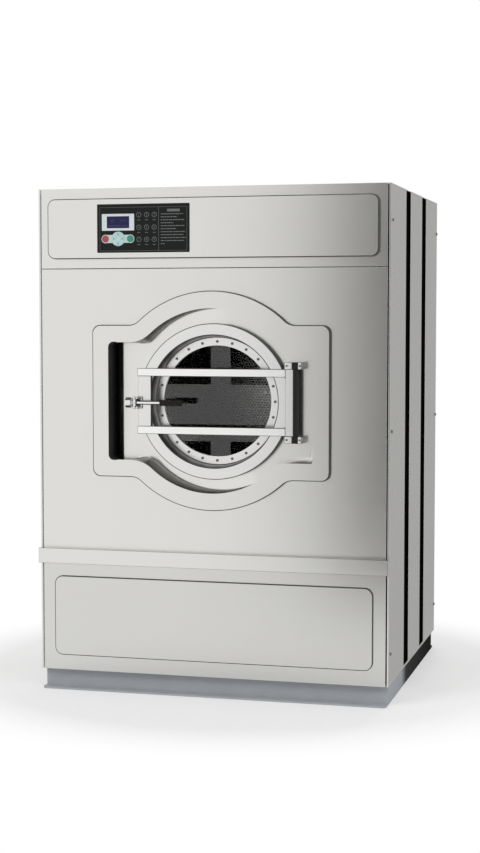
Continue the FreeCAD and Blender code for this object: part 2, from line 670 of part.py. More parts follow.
def keypad():
    """Keypad with display and keys, and the board behind it."""
    back_y = -FASCIA_PROUD
    plate = rounded_block(KEYPAD_X, FASCIA_Z, KEYPAD_WIDTH, KEYPAD_HEIGHT, KEYPAD_CORNER,
                          KEYPAD_FACE, back_y)
    keys = [(STOP_KEY_X, ROUND_KEY_RADIUS), (START_KEY_X, ROUND_KEY_RADIUS), (NAV_KEY_X, NAV_RADIUS)]
    for across_mm, radius in keys:
        x, z = keypad_spot(across_mm, KEY_ROW)
        plate = plate.cut(rod_y(x, z, radius + KEY_GAP, KEYPAD_FACE - PAST, back_y + PAST))
    x, z = keypad_spot(*DISPLAY_CENTRE)
    display = rounded_block(x, z, DISPLAY_WIDTH, DISPLAY_HEIGHT, DISPLAY_CORNER,
                            KEYPAD_FACE - DISPLAY_PROUD, KEYPAD_FACE)
    flange_y = back_y + KEY_GAP
    enter_y = flange_y + KEY_FLANGE_THICKNESS + KEY_TRAVEL + KEY_GAP
    save("keypad", plate)
    save("display", display)
    save("stop_key", key(STOP_KEY_X, ROUND_KEY_RADIUS, 0, flange_y))
    save("start_key", key(START_KEY_X, ROUND_KEY_RADIUS, 0, flange_y))
    save("nav_pad", key(NAV_KEY_X, NAV_RADIUS, ENTER_RADIUS + KEY_GAP, flange_y))
    save("enter_key", key(NAV_KEY_X, ENTER_RADIUS, 0, enter_y))
    half_w = KEYPAD_WIDTH / 2
    half_h = KEYPAD_HEIGHT / 2
    board_y = SHEET + BOARD_STANDOFF
    board = [box(KEYPAD_X - half_w, KEYPAD_X + half_w, board_y, board_y + BOARD_THICKNESS,
                 FASCIA_Z - half_h, FASCIA_Z + half_h)]
    for side in (-1, 1):
        for rise in (-1, 1):
            x = KEYPAD_X + side * (half_w - KEYPAD_LAND / 2)
            z = FASCIA_Z + rise * (half_h - KEYPAD_LAND / 2)
            board.append(rod_y(x, z, BOARD_POST_RADIUS, SHEET, board_y))
    save("control_board", join(board))


def clamp_spots():
    """Centres of the bolts round the door glass."""
    spots = []
    for index in range(CLAMP_BOLTS):
        turn = 2 * math.pi * index / CLAMP_BOLTS
        spots.append((DOOR_X + BOLT_CIRCLE * math.cos(turn), DOOR_Z + BOLT_CIRCLE * math.sin(turn)))
    return spots


def bolt_holes():
    radius = BOLT_RADIUS + BOLT_CLEARANCE
    return [rod_y(x, z, radius, CLAMP_FACE_Y - PAST, GLASS_BACK_Y + DISH_SHEET + PAST)
            for x, z in clamp_spots()]


def door():
    """Spun door dish with its clamped glass."""
    skirt_y = PLATEAU_Y - RIM_CLEARANCE
    seat = CLAMP_OUTER + FACE_GAP
    face_back = RIM_FACE_Y + DISH_SHEET
    seat_back = GLASS_BACK_Y + DISH_SHEET
    profile = [
        (RIM_OUTER, skirt_y), (RIM_OUTER, RIM_FACE_Y), (DISH_MOUTH, RIM_FACE_Y), (seat, GLASS_BACK_Y),
        (GLASS_CLEAR_RADIUS, GLASS_BACK_Y), (GLASS_CLEAR_RADIUS, seat_back), (seat + DISH_SHEET, seat_back),
        (DISH_MOUTH + DISH_SHEET, face_back), (RIM_OUTER - DISH_SHEET, face_back),
        (RIM_OUTER - DISH_SHEET, skirt_y),
    ]
    corners = [point(DOOR_X + radius, y, DOOR_Z) for radius, y in profile + profile[:1]]
    section = Part.Face(Part.makePolygon(corners))
    dish = section.revolve(point(DOOR_X, 0, DOOR_Z), point(0, 1, 0), 360)
    holes = bolt_holes()
    glass_radius = GLASS_CLEAR_RADIUS + GLASS_LAP
    clamp = ring_y(DOOR_X, DOOR_Z, GLASS_CLEAR_RADIUS, CLAMP_OUTER, CLAMP_FACE_Y, GLASS_FRONT_Y)
    seal = ring_y(DOOR_X, DOOR_Z, glass_radius, CLAMP_OUTER, GLASS_FRONT_Y, GLASS_BACK_Y)
    bolts = []
    for x, z in clamp_spots():
        bolts.append(join([rod_y(x, z, BOLT_HEAD_RADIUS, CLAMP_FACE_Y - BOLT_HEAD_HEIGHT, CLAMP_FACE_Y),
                           rod_y(x, z, BOLT_RADIUS, CLAMP_FACE_Y, seat_back),
                           rod_y(x, z, NUT_RADIUS, seat_back, seat_back + NUT_HEIGHT)]))
    save("door_dish", dish.cut(holes))
    save("glass_clamp_ring", clamp.cut(holes))
    save("glass_seal", seal.cut(holes))
    save("door_glass", rod_y(DOOR_X, DOOR_Z, glass_radius, GLASS_FRONT_Y, GLASS_BACK_Y))
    save("clamp_bolts", *bolts)


def door_frame():
    """Crossbars, end plates and the hinge of the door."""
    bars = []
    for rise in (-1, 1):
        z = DOOR_Z + rise * BAR_HALF_SPACING
        bars.append(box(BAR_LEFT_X, HINGE_PLATE_X, BAR_FRONT_Y, RIM_FACE_Y,
                        z - BAR_HEIGHT / 2, z + BAR_HEIGHT / 2))
    latch_plate = box(LATCH_PLATE_X, LATCH_PLATE_X + LATCH_PLATE_WIDTH, BAR_FRONT_Y, RIM_FACE_Y,
                      BAR_BOTTOM + BAR_HEIGHT, BAR_TOP - BAR_HEIGHT)
    hinge_plate = box(HINGE_PLATE_X, HINGE_X, BAR_FRONT_Y, RIM_FACE_Y, BAR_BOTTOM, BAR_TOP)
    hinge_plate = hinge_plate.cut(rod_z(HINGE_X, HINGE_Y, HINGE_TUBE_RADIUS, BAR_BOTTOM, BAR_TOP))
    tube = rod_z(HINGE_X, HINGE_Y, HINGE_TUBE_RADIUS, BAR_BOTTOM, BAR_TOP)
    tube = tube.cut(rod_z(HINGE_X, HINGE_Y, HINGE_PIN_RADIUS + RUNNING_GAP, BAR_BOTTOM, BAR_TOP))
    reach = FACE_GAP + HINGE_BUSH_HEIGHT
    pin = rod_z(HINGE_X, HINGE_Y, HINGE_PIN_RADIUS, BAR_BOTTOM - reach, BAR_TOP + reach)
    bush_front = HINGE_Y - HINGE_BUSH_DEPTH / 2
    bush_back = HINGE_Y + HINGE_BUSH_DEPTH / 2
    left_x = HINGE_X - HINGE_TUBE_RADIUS - HINGE_DOOR_CHEEK
    right_x = HINGE_X + HINGE_TUBE_RADIUS + HINGE_CHEEK
    brackets = []
    for z in (BAR_BOTTOM - reach, BAR_TOP + FACE_GAP):
        top = z + HINGE_BUSH_HEIGHT
        block = box(HINGE_X - HINGE_TUBE_RADIUS, HINGE_X + HINGE_TUBE_RADIUS, bush_front, bush_back, z, top)
        foot = [(left_x, bush_front), (right_x, bush_front), (right_x, hinge_floor_y(right_x)),
                (left_x, hinge_floor_y(left_x))]
        brackets.append(plan_prism(foot, z, top).cut(block))
        pin = join([pin, block])
    save("door_bars", *bars)
    save("door_end_plates", latch_plate, hinge_plate)
    save("hinge_tube", tube)
    save("hinge_pin", pin)
    save("hinge_brackets", *brackets)


def latch():
    """Ears on the latch plate, and the lever that swings out on its pin."""
    half_hub = LEVER_HUB_HEIGHT / 2
    ear_start = half_hub + FACE_GAP
    ear_end = ear_start + EAR_THICKNESS
    root_x = LATCH_PLATE_X + EAR_ROOT
    arm = [(LEVER_X - LEVER_PIN_RADIUS, LEVER_Y), (LATCH_PLATE_X, BAR_FRONT_Y), (root_x, BAR_FRONT_Y),
           (LEVER_X + LEVER_HUB_RADIUS, LEVER_Y)]
    pin = rod_z(LEVER_X, LEVER_Y, LEVER_PIN_RADIUS, LEVER_Z - ear_end, LEVER_Z + ear_end)
    pieces = [pin, box(LATCH_PLATE_X, root_x, BAR_FRONT_Y - EAR_BACK, BAR_FRONT_Y,
                       LEVER_Z - ear_end, LEVER_Z + ear_end)]
    for low, high in ((-ear_end, -ear_start), (ear_start, ear_end)):
        pieces.append(plan_prism(arm, LEVER_Z + low, LEVER_Z + high))
        pieces.append(rod_z(LEVER_X, LEVER_Y, LEVER_HUB_RADIUS, LEVER_Z + low, LEVER_Z + high))
    hex_right = LEVER_X - LEVER_HUB_RADIUS - HEX_GAP
    hex_reach = HEX_FLAT / math.sqrt(3)
    corners = []
    for index in range(7):
        turn = math.radians(90 + 60 * index)
        corners.append(point(hex_right, LEVER_Y + hex_reach * math.cos(turn),
                             LEVER_Z + hex_reach * math.sin(turn)))
    nut = extrude(Part.makePolygon(corners), (-HEX_LENGTH, 0, 0))
    grip_x = LEVER_X + GRIP_START
    grip_end = grip_x + GRIP_LENGTH
    rod_end = grip_end - GRIP_CAP
    lever = join([rod_z(LEVER_X, LEVER_Y, LEVER_HUB_RADIUS, LEVER_Z - half_hub, LEVER_Z + half_hub),
                  rod_x(LEVER_Y, LEVER_Z, LEVER_ROD_RADIUS, hex_right, rod_end), nut])
    bore = rod_z(LEVER_X, LEVER_Y, LEVER_PIN_RADIUS + RUNNING_GAP, LEVER_Z - ear_end, LEVER_Z + ear_end)
    grip = rod_x(LEVER_Y, LEVER_Z, GRIP_RADIUS, grip_x, grip_end)
    grip = grip.cut(rod_x(LEVER_Y, LEVER_Z, LEVER_ROD_RADIUS, grip_x, rod_end))
    rib = GRIP_LENGTH / (2 * GRIP_RIBS + 1)
    for index in range(GRIP_RIBS):
        x = grip_x + (2 * index + 1) * rib
        groove = rod_x(LEVER_Y, LEVER_Z, GRIP_RADIUS + PAST, x, x + rib)
        grip = grip.cut(groove.cut(rod_x(LEVER_Y, LEVER_Z, GRIP_RADIUS - GRIP_RIB_DEPTH, x, x + rib)))
    save("latch_bracket", join(pieces))
    save("latch_lever", lever.cut(bore))
    save("lever_grip", grip)


def heater_spots():
    """Heater rods along the bottom of the gap between drum and tub."""
    radius = (DRUM_RADIUS + DRUM_SHEET + TUB_INNER) / 2
    spots = []
    for index in range(HEATERS):
        turn = math.radians(270 + HEATER_STEP * (index - (HEATERS - 1) / 2))
        spots.append((DOOR_X + radius * math.cos(turn), DOOR_Z + radius * math.sin(turn)))
    return spots


def tub():
    """Fixed tub, its front with the door collar, its rear with the bearing housing, and its cradles."""
    shell = ring_y(DOOR_X, DOOR_Z, TUB_INNER, TUB_OUTER, TUB_SHELL_Y, TUB_REAR_Y)
    shell = shell.cut(rod_z(DRAIN_X, DRAIN_Y, DRAIN_HOLE_RADIUS, DRAIN_BOTTOM, DOOR_Z))
    for x in INLET_XS:
        shell = shell.cut(rod_z(x, HOSE_DROP_Y, HOSE_RADIUS - HOSE_WALL, DOOR_Z, INLET_Z))
    tub_edge = TUB_OUTER + TUB_LIP
    rear = join([ring_y(DOOR_X, DOOR_Z, BEARING_RADIUS, tub_edge, TUB_REAR_Y, TUB_BACK_Y),
                 ring_y(DOOR_X, DOOR_Z, BEARING_RADIUS, HOUSING_RADIUS, TUB_BACK_Y, HOUSING_BACK_Y)])
    heaters = []
    for x, z in heater_spots():
        heater = rod_y(x, z, HEATER_RADIUS, TUB_REAR_Y - HEATER_LENGTH, TUB_BACK_Y + HEATER_TAIL)
        rear = rear.cut(heater)
        heaters.append(heater)
    flange_y = PLATEAU_Y - SHEET
    flange_outer = COLLAR_OUTER + COLLAR_FLANGE
    front = join([ring_y(DOOR_X, DOOR_Z, COLLAR_INNER, COLLAR_OUTER, flange_y, TUB_SHELL_Y),
                  ring_y(DOOR_X, DOOR_Z, COLLAR_INNER, flange_outer, flange_y, PLATEAU_Y),
                  ring_y(DOOR_X, DOOR_Z, COLLAR_OUTER, tub_edge, TUB_FRONT_Y, TUB_SHELL_Y)])
    gasket_y = RIM_FACE_Y + DISH_SHEET + FACE_GAP
    cradles = []
    for y in LEG_YS:
        cradle = [crossbar(y)]
        for side in (-1, 1):
            x = DOOR_X + side * LEG_SPREAD
            leg = box(x - LEG_WIDTH / 2, x + LEG_WIDTH / 2, y - LEG_LENGTH / 2, y + LEG_LENGTH / 2,
                      BASE_HEIGHT, DOOR_Z)
            cradle.append(leg.cut(rod_y(DOOR_X, DOOR_Z, TUB_OUTER, TUB_FRONT_Y, TUB_BACK_Y)))
        cradles.append(join(cradle))
    save("tub_shell", shell)
    save("tub_front", front)
    save("tub_rear", rear)
    save("door_gasket", ring_y(DOOR_X, DOOR_Z, COLLAR_INNER + GASKET_INSET, flange_outer - GASKET_INSET,
                               gasket_y, flange_y))
    save("tub_cradles", *cradles)
    save("heater_rods", *heaters)


def drum():
    """Wash drum with its lifters, on the shaft that carries the pulley."""
    shell_y = DRUM_FRONT_Y + DRUM_SHEET
    drum_outer = DRUM_RADIUS + DRUM_SHEET
    back_y = DRUM_BACK_Y + DRUM_SHEET
    spider_y = back_y + SPIDER_THICKNESS
    lifters = []
    inside = rod_y(DOOR_X, DOOR_Z, DRUM_RADIUS, shell_y, DRUM_BACK_Y)
    lifter_top = DRUM_RADIUS - LIFTER_HEIGHT
    section = [(-LIFTER_BASE / 2, DRUM_RADIUS + PAST), (LIFTER_BASE / 2, DRUM_RADIUS + PAST),
               (LIFTER_TOP / 2, lifter_top), (-LIFTER_TOP / 2, lifter_top)]
    for index in range(LIFTERS):
        wire = Part.makePolygon([point(DOOR_X + x, shell_y, DOOR_Z + z) for x, z in section + section[:1]])
        lifter = extrude(wire, (0, DRUM_BACK_Y - shell_y, 0)).common(inside)
        lifter.rotate(point(DOOR_X, 0, DOOR_Z), point(0, 1, 0), 360 * index / LIFTERS)
        lifters.append(lifter)
    shaft = join([rod_y(DOOR_X, DOOR_Z, SPIDER_RADIUS, back_y, spider_y),
                  rod_y(DOOR_X, DOOR_Z, SHAFT_RADIUS, spider_y, PULLEY_BACK_Y)])
    shell = join([ring_y(DOOR_X, DOOR_Z, DRUM_RADIUS, drum_outer, shell_y, DRUM_BACK_Y),
                  ring_y(DOOR_X, DOOR_Z, COLLAR_INNER + DRUM_LIP, drum_outer, DRUM_FRONT_Y, shell_y)])
    save("drum_shell", shell)
    save("drum_back_plate", rod_y(DOOR_X, DOOR_Z, drum_outer, DRUM_BACK_Y, back_y))
    save("drum_lifters", *lifters)
    save("drum_shaft", shaft)
    running = SHAFT_RADIUS + RUNNING_GAP
    bearings = []
    for y in (TUB_BACK_Y + BEARING_EDGE, HOUSING_BACK_Y - BEARING_EDGE - BEARING_WIDTH):
        bearings.append(ring_y(DOOR_X, DOOR_Z, running, BEARING_RADIUS, y, y + BEARING_WIDTH))
    save("shaft_bearings", *bearings)
    save("shaft_seal", ring_y(DOOR_X, DOOR_Z, running, BEARING_RADIUS, TUB_REAR_Y, TUB_BACK_Y))


def grooved(x, z, radius):
    """A pulley blank with one groove for each belt."""
    blank = rod_y(x, z, radius, PULLEY_Y, PULLEY_BACK_Y)
    half = BELT_WIDTH / 2 + FACE_GAP
    for y in BELT_YS:
        blank = blank.cut(ring_y(x, z, radius - GROOVE_DEPTH, radius + PAST, y - half, y + half))
    return blank


def belt_outline(drum_radius, motor_radius, y):
    """The closed line round both pulleys."""
    drum_centre = point(DOOR_X, y, DOOR_Z)
    motor_centre = point(MOTOR_X, y, MOTOR_Z)
    toward = motor_centre - drum_centre
    spread = math.acos((drum_radius - motor_radius) / toward.Length)
    heading = math.atan2(toward.z, toward.x)
    rays = [point(math.cos(heading + turn), 0, math.sin(heading + turn)) for turn in (spread, 0, -spread)]
    on_drum = [drum_centre + ray * drum_radius for ray in rays]
    on_motor = [motor_centre + ray * motor_radius for ray in rays]
    far_side = drum_centre - rays[1] * drum_radius
    return Part.Wire([line(on_drum[0], on_motor[0]), arc(*on_motor), line(on_motor[2], on_drum[2]),
                      arc(on_drum[2], far_side, on_drum[0])])


def belt_drive():
    """Pulleys, belts, motor and the bar with the motor's saddle."""
    pulley = grooved(DOOR_X, DOOR_Z, PULLEY_RADIUS)
    rim_inner = PULLEY_RADIUS - PULLEY_RIM
    web_y = PULLEY_Y + (PULLEY_WIDTH - PULLEY_WEB) / 2
    for y0, y1 in ((PULLEY_Y, web_y), (web_y + PULLEY_WEB, PULLEY_BACK_Y)):
        pulley = pulley.cut(ring_y(DOOR_X, DOOR_Z, PULLEY_HUB_RADIUS, rim_inner, y0, y1))
    hole_circle = (PULLEY_HUB_RADIUS + rim_inner) / 2
    for index in range(PULLEY_HOLES):
        turn = 2 * math.pi * index / PULLEY_HOLES
        hole_x = DOOR_X + hole_circle * math.cos(turn)
        hole_z = DOOR_Z + hole_circle * math.sin(turn)
        pulley = pulley.cut(rod_y(hole_x, hole_z, PULLEY_HOLE_RADIUS, PULLEY_Y, PULLEY_BACK_Y))
    pulley = pulley.cut(rod_y(DOOR_X, DOOR_Z, SHAFT_RADIUS, PULLEY_Y - PAST, PULLEY_BACK_Y + PAST))
    seat_y = MOTOR_BACK_Y - MOTOR_SHAFT_SEAT
    shaft = rod_y(MOTOR_X, MOTOR_Z, MOTOR_SHAFT_RADIUS, seat_y, PULLEY_BACK_Y)
    motor = rod_y(MOTOR_X, MOTOR_Z, MOTOR_RADIUS, MOTOR_FRONT_Y, MOTOR_BACK_Y)
    bore = MOTOR_SHAFT_RADIUS + RUNNING_GAP
    motor = motor.cut(rod_y(MOTOR_X, MOTOR_Z, bore, seat_y - FACE_GAP, PULLEY_Y))
    half_width = MOTOR_FEET_WIDTH / 2
    half_length = MOTOR_FEET_LENGTH / 2
    saddle = box(MOTOR_X - half_width, MOTOR_X + half_width, MOTOR_FEET_Y - half_length,
                 MOTOR_FEET_Y + half_length, BASE_HEIGHT, MOTOR_Z)
    saddle = saddle.cut(rod_y(MOTOR_X, MOTOR_Z, MOTOR_RADIUS, MOTOR_FRONT_Y, MOTOR_BACK_Y))
    belts = []
    inner = [radius - GROOVE_DEPTH + FACE_GAP for radius in (PULLEY_RADIUS, MOTOR_PULLEY_RADIUS)]
    for y in BELT_YS:
        start = y - BELT_WIDTH / 2
        outer = [radius + BELT_THICKNESS for radius in inner]
        loop = extrude(belt_outline(*outer, start), (0, BELT_WIDTH, 0))
        belts.append(loop.cut(extrude(belt_outline(*inner, start), (0, BELT_WIDTH, 0))))
    save("drum_pulley", pulley)
    save("motor_pulley", join([grooved(MOTOR_X, MOTOR_Z, MOTOR_PULLEY_RADIUS), shaft]))
    save("motor", motor)
    save("motor_mount", join([crossbar(MOTOR_FEET_Y), saddle]))
    save("drive_belts", *belts)


def hose(x, radius):
    """A hose from an inlet valve forward and down to the tub, trimmed by the tub later."""
    start = point(x, REAR_INNER - INLET_BODY_LENGTH, INLET_Z)
    bend_start = point(x, HOSE_DROP_Y + HOSE_BEND, INLET_Z)
    soft = HOSE_BEND * (1 - math.sqrt(0.5))
    bend_middle = point(x, HOSE_DROP_Y + soft, INLET_Z - soft)
    bend_end = point(x, HOSE_DROP_Y, INLET_Z - HOSE_BEND)
    path = Part.Wire([line(start, bend_start), arc(bend_start, bend_middle, bend_end),
                      line(bend_end, point(x, HOSE_DROP_Y, DOOR_Z))])
    circle = Part.Wire(Part.Circle(start, point(0, 1, 0), radius).toShape())
    return path.makePipeShell([circle], True, False)


def water_and_power():
    """Drain, inlets, cable gland, motor drive, and the door lock behind the surround."""
    tub_body = rod_y(DOOR_X, DOOR_Z, TUB_OUTER, TUB_FRONT_Y, TUB_BACK_Y)
    column = rod_z(DRAIN_X, DRAIN_Y, DRAIN_VALVE_RADIUS, DRAIN_BOTTOM, DOOR_Z)
    valve = column.cut(tub_body)
    valve = valve.cut(rod_z(DRAIN_X, DRAIN_Y, DRAIN_HOLE_RADIUS, DRAIN_PIPE_Z, DOOR_Z))
    bore = DRAIN_PIPE_RADIUS - DRAIN_PIPE_WALL
    valve = valve.cut(rod_y(DRAIN_X, DRAIN_PIPE_Z, bore, DRAIN_Y, REAR_MOST))
    pipe = ring_y(DRAIN_X, DRAIN_PIPE_Z, bore, DRAIN_PIPE_RADIUS, DRAIN_Y, REAR_MOST).cut(column)
    flange = ring_y(DRAIN_X, DRAIN_PIPE_Z, bore, DRAIN_FLANGE_RADIUS, CABINET_DEPTH,
                    CABINET_DEPTH + DRAIN_FLANGE_THICKNESS)
    inlets = []
    hoses = []
    for x in INLET_XS:
        body_y = REAR_INNER - INLET_BODY_LENGTH
        inlets.append(join([rod_y(x, INLET_Z, INLET_BODY_RADIUS, body_y, REAR_INNER),
                            rod_y(x, INLET_Z, INLET_COLLAR_RADIUS, REAR_INNER, INLET_COLLAR_Y),
                            rod_y(x, INLET_Z, INLET_RADIUS, INLET_COLLAR_Y, INLET_COLLAR_Y + INLET_STUB)]))
        hoses.append(hose(x, HOSE_RADIUS).cut(hose(x, HOSE_RADIUS - HOSE_WALL)).cut(tub_body))
    gland = ring_y(GLAND_X, INLET_Z, GLAND_BORE, GLAND_RADIUS, REAR_INNER, CABINET_DEPTH + GLAND_LENGTH)
    drive_x = POST_SIZE - SIDE_INNER
    drive = box(drive_x, drive_x + DRIVE_SIZE[0], REAR_INNER - DRIVE_SIZE[1], REAR_INNER,
                DRIVE_Z, DRIVE_Z + DRIVE_SIZE[2])
    lock_right = SLOT_RIGHT + LOCK_WIDTH
    lock = [(SLOT_RIGHT, hand_floor_y(SLOT_RIGHT) + SHEET), (lock_right, hand_floor_y(lock_right) + SHEET),
            (lock_right, LOCK_DEPTH), (SLOT_RIGHT, LOCK_DEPTH)]
    save("drain_valve", valve)
    save("drain_pipe", join([pipe, flange]))
    save("inlet_valves", *inlets)
    save("inlet_hoses", *hoses)
    save("cable_gland", gland)
    save("inverter_drive", drive)
    save("door_lock", plan_prism(lock, LEVER_Z - LOCK_HEIGHT / 2, LEVER_Z + LOCK_HEIGHT / 2))


def across(shape):
    """The same shape on the other side of the cabinet."""
    return shape.mirror(point(0, 0, 0), point(1, 0, 0))


def save(node, *shapes):
    """Write one node, moved so that the origin lies under the middle of the outline."""
    solids = [solid for shape in shapes for solid in shape.Solids]
    body = solids[0] if len(solids) == 1 else Part.makeCompound(solids)
    moved = body.copy()
    moved.translate(point(0, -ORIGIN_Y, 0))
    moved.exportStep("parts/" + node + ".step")


os.makedirs("parts", exist_ok=True)
base_frame()
cabinet_frame()
front_panels()
side_panels()
top_and_rear()
door_surround()
keypad()
door()
door_frame()
latch()
tub()
drum()
belt_drive()
water_and_power()
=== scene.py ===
"""Looks of an industrial front-loading washing machine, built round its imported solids.

Places are millimetres on the machine: X across from the middle, Y back from the face of the
front panel, Z up from the floor. at() turns them into the frame's metres.
"""

import json
import math

import bmesh
import bpy
from mathutils import Matrix, Vector


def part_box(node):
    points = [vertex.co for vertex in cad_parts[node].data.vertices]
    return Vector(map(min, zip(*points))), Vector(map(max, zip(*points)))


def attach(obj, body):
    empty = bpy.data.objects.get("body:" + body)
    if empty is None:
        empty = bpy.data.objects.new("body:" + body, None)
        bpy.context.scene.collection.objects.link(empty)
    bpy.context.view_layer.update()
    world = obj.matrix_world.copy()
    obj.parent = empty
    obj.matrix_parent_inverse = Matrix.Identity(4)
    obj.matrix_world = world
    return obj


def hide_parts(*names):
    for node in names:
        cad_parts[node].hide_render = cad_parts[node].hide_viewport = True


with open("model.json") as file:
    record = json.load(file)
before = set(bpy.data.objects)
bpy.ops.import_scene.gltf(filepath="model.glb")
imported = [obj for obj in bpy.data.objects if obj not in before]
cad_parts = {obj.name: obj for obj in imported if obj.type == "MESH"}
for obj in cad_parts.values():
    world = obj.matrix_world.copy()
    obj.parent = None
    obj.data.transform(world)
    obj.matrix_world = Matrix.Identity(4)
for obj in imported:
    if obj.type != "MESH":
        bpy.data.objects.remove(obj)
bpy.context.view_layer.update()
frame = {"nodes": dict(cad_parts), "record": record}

MM = 0.001
FRONT_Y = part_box("front_panel")[0].y / MM
SLOT_OF = {entry["node"]: entry["material_slot"] for entry in frame["record"]["subparts"]}
BODY_OF = {}
for body_name, members in frame["record"]["behaviour"]["bodies"].items():
    for member in members:
        BODY_OF[member] = body_name


def at(x, y, z):
    """A place on the machine, in the frame's metres."""
    return Vector((x * MM, (y + FRONT_Y) * MM, z * MM))


def span(node):
    """Lowest and highest corner of a solid, as a place on the machine."""
    corners = []
    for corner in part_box(node):
        corners.append(Vector((corner.x / MM, corner.y / MM - FRONT_Y, corner.z / MM)))
    return corners


def front_view(node):
    """Middle and size of a solid as seen from the front: x, z, width and height."""
    low, high = span(node)
    return (low.x + high.x) / 2, (low.z + high.z) / 2, high.x - low.x, high.z - low.z


# Sizes read off the solids
glass_low, glass_high = span("door_glass")
dish_low, dish_high = span("door_dish")
clamp_low, clamp_high = span("glass_clamp_ring")
surround_low, surround_high = span("door_surround")
keypad_low, keypad_high = span("keypad")
DOOR_X = (glass_low.x + glass_high.x) / 2
DOOR_Z = (glass_low.z + glass_high.z) / 2
GLASS_RADIUS = (glass_high.x - glass_low.x) / 2
RIM_OUTER = (dish_high.x - dish_low.x) / 2
CLAMP_OUTER = (clamp_high.x - clamp_low.x) / 2
SURROUND_HALF_WIDTH = (surround_high.x - surround_low.x) / 2
SURROUND_ARC = (surround_high.z - surround_low.z) / 2
KEYPAD_FACE = keypad_low.y

# Sheet metal
SHEET = 2.0
PRESSED_SHEET = 1.5
EDGE_FILLET = 2.0
# Width of the dark band of painted shade that runs over a raised edge onto its face.
STRIP_ON_FACE = 0.6
EDGE_STRIP = EDGE_FILLET + STRIP_ON_FACE
STRIP_GUARD = 4.0
FASCIA_CORNER = 24.0
ACCESS_CORNER = 26.0
FRONT_EASE = 0.7
SHEET_EASE = 0.6
POST_EASE = 0.5
RAIL_EASE = 1.2
FITTING_EASE = 0.8
BAR_EASE = 1.3
BRACKET_EASE = 1.0
SIDE_FACING = 0.5

# Angles in degrees at which faces count as flat, edges as sharp, and shading as smooth
FLAT_ANGLE = 1.0
SHARP_ANGLE = 28.0
SMOOTH_ANGLE = 32.0
EASED_SMOOTH_ANGLE = 40.0
PRESSED_SMOOTH_ANGLE = 50.0

# Screw heads, with their rounding and socket as shares of the head, and the panel screws
HEAD_SUNK = 0.5
HEAD_ROUNDING = 0.28
HEAD_SOCKET = 0.5
SOCKET_TAPER = 0.92
SOCKET_FLOOR = 0.35
SCREW_HEIGHTS = (157.0, 828.0, 1457.0)
SIDE_SCREW_DEPTHS = (34.0, 946.0)
REAR_SCREW_ACROSS = 541.0
SCREW_HEAD = 5.0

# Door surround
SURROUND_HALF_HEIGHT = 234.0
SURROUND_ARC_X = 6.0
SURROUND_LOBE_DROP = 3.0
SURROUND_CORNER = 24.0
SURROUND_BLEND = 50.0
SURROUND_PROUD = 14.0
SIDE_STEPS = 6
CORNER_STEPS = 8
LEDGE_STEPS = 6
BLEND_STEPS = 10
ARC_STEPS = 26
FACE_INSETS = (4.0, 20.0, 36.0, 48.0)
DOOR_HOLE = 210.5
HOLE_STEPS = 16
TOUCH = 0.1
OUTLINE_TOUCH = 0.01
FRONT_FACING = 0.9

# Recesses in the surround
RECESS_INSET = 53.0
RECESS_CORNER = 15.0
RECESS_LIP = 2.5
RECESS_INNER = 80.0
LIP_GUARD = 0.8
LIP_STEPS = 4
WALL_PITCH = 2.0
WALL_STEPS = 11
FADE_LENGTH = 30.0
HAND_SLOPE = 0.14
HAND_FADE_X = 15.0
HAND_FADE_BEND = 60.0
HAND_LEAN_UP = 0.08
HAND_LEAN_DOWN = 0.62
HAND_LEVEL_X = -290.0
HAND_LEAN_X = -150.0
HAND_DRAFT = 0.8
HAND_DRAFT_START = -242.0
HAND_DRAFT_FULL = -190.0
HINGE_SLOPE = 0.03
HINGE_FADE_X = 228.0
HINGE_RECESS_TOP = 162.0
HINGE_RECESS_BLEND = 18.0
HINGE_DRAFT = 1.0
HINGE_WALL_END = 322.0
HINGE_WALL_FADE = 12.0
HINGE_SHADE_FULL = 300.0
HINGE_SHADE_END = 319.0
HINGE_SHADE_HEIGHT = 16.0
HINGE_SHADE_THIN = 0.1
HINGE_SHADE_LEAN = 0.4

# Slot of the hand pocket
SLOT_RIGHT = -295.0
SLOT_BACK = 86.0
SLOT_ROLL = 9.0
SLOT_ROLL_LIMIT = 0.97
SLOT_REACH = -180.0
SLOT_CUTS = (0.0, 0.6, 1.5, 2.8, 4.5, 6.5, SLOT_ROLL, SLOT_ROLL + 0.7, SLOT_ROLL + 2.0)

# Door
CLEAR_RADIUS = 169.0
DISH_MOUTH = 200.5
DISH_FLOOR = 17.0
RIM_FACE = -40.0
RIM_SKIRT = -17.0
SKIRT_SHADE = 0.15
CLAMP_SEAT = 0.3
PANE_EDGE = 4.0
ROUND_STEPS = 160
PANE_STEPS = 128
BOLT_CIRCLE = 181.25
BOLT_COUNT = 24
BOLT_HEAD = 4.2
TUBE_BORE = 6.05
TUBE_STEPS = 40
HINGE_SCREW_IN = 7.0
HINGE_SCREW_HEAD = 3.4
HINGE_SCREW_RISE = 1.6

# Lever and its grip
LEVER_ROD = 6.0
LEVER_NUT = 24.0
GRIP_LEAD = 1.2
GRIP_LEAD_START = 1.8
GRIP_LEAD_END = 0.4
GRIP_COLLAR = 3.0
GRIP_NOSE = 8.0
GRIP_NOSE_STEPS = 5
GRIP_GAP = 1.0
GRIP_EASE = 0.1
GRIP_RIBS = 9
GRIP_RIB_STEPS = 8
GRIP_RIB_DEPTH = 1.2

# Drum perforation
BACK_PITCH = 10.0
BACK_HOLE = 3.8
BACK_MARGIN = 14.0
BACK_PLAIN = 6.0
BACK_LIFT = 0.4
SHELL_PITCH = 14.0
SHELL_HOLE = 2.5
SHELL_INNER = 399.5
SHELL_MARGIN = 30.0
PERFORATION_SIDES = 7

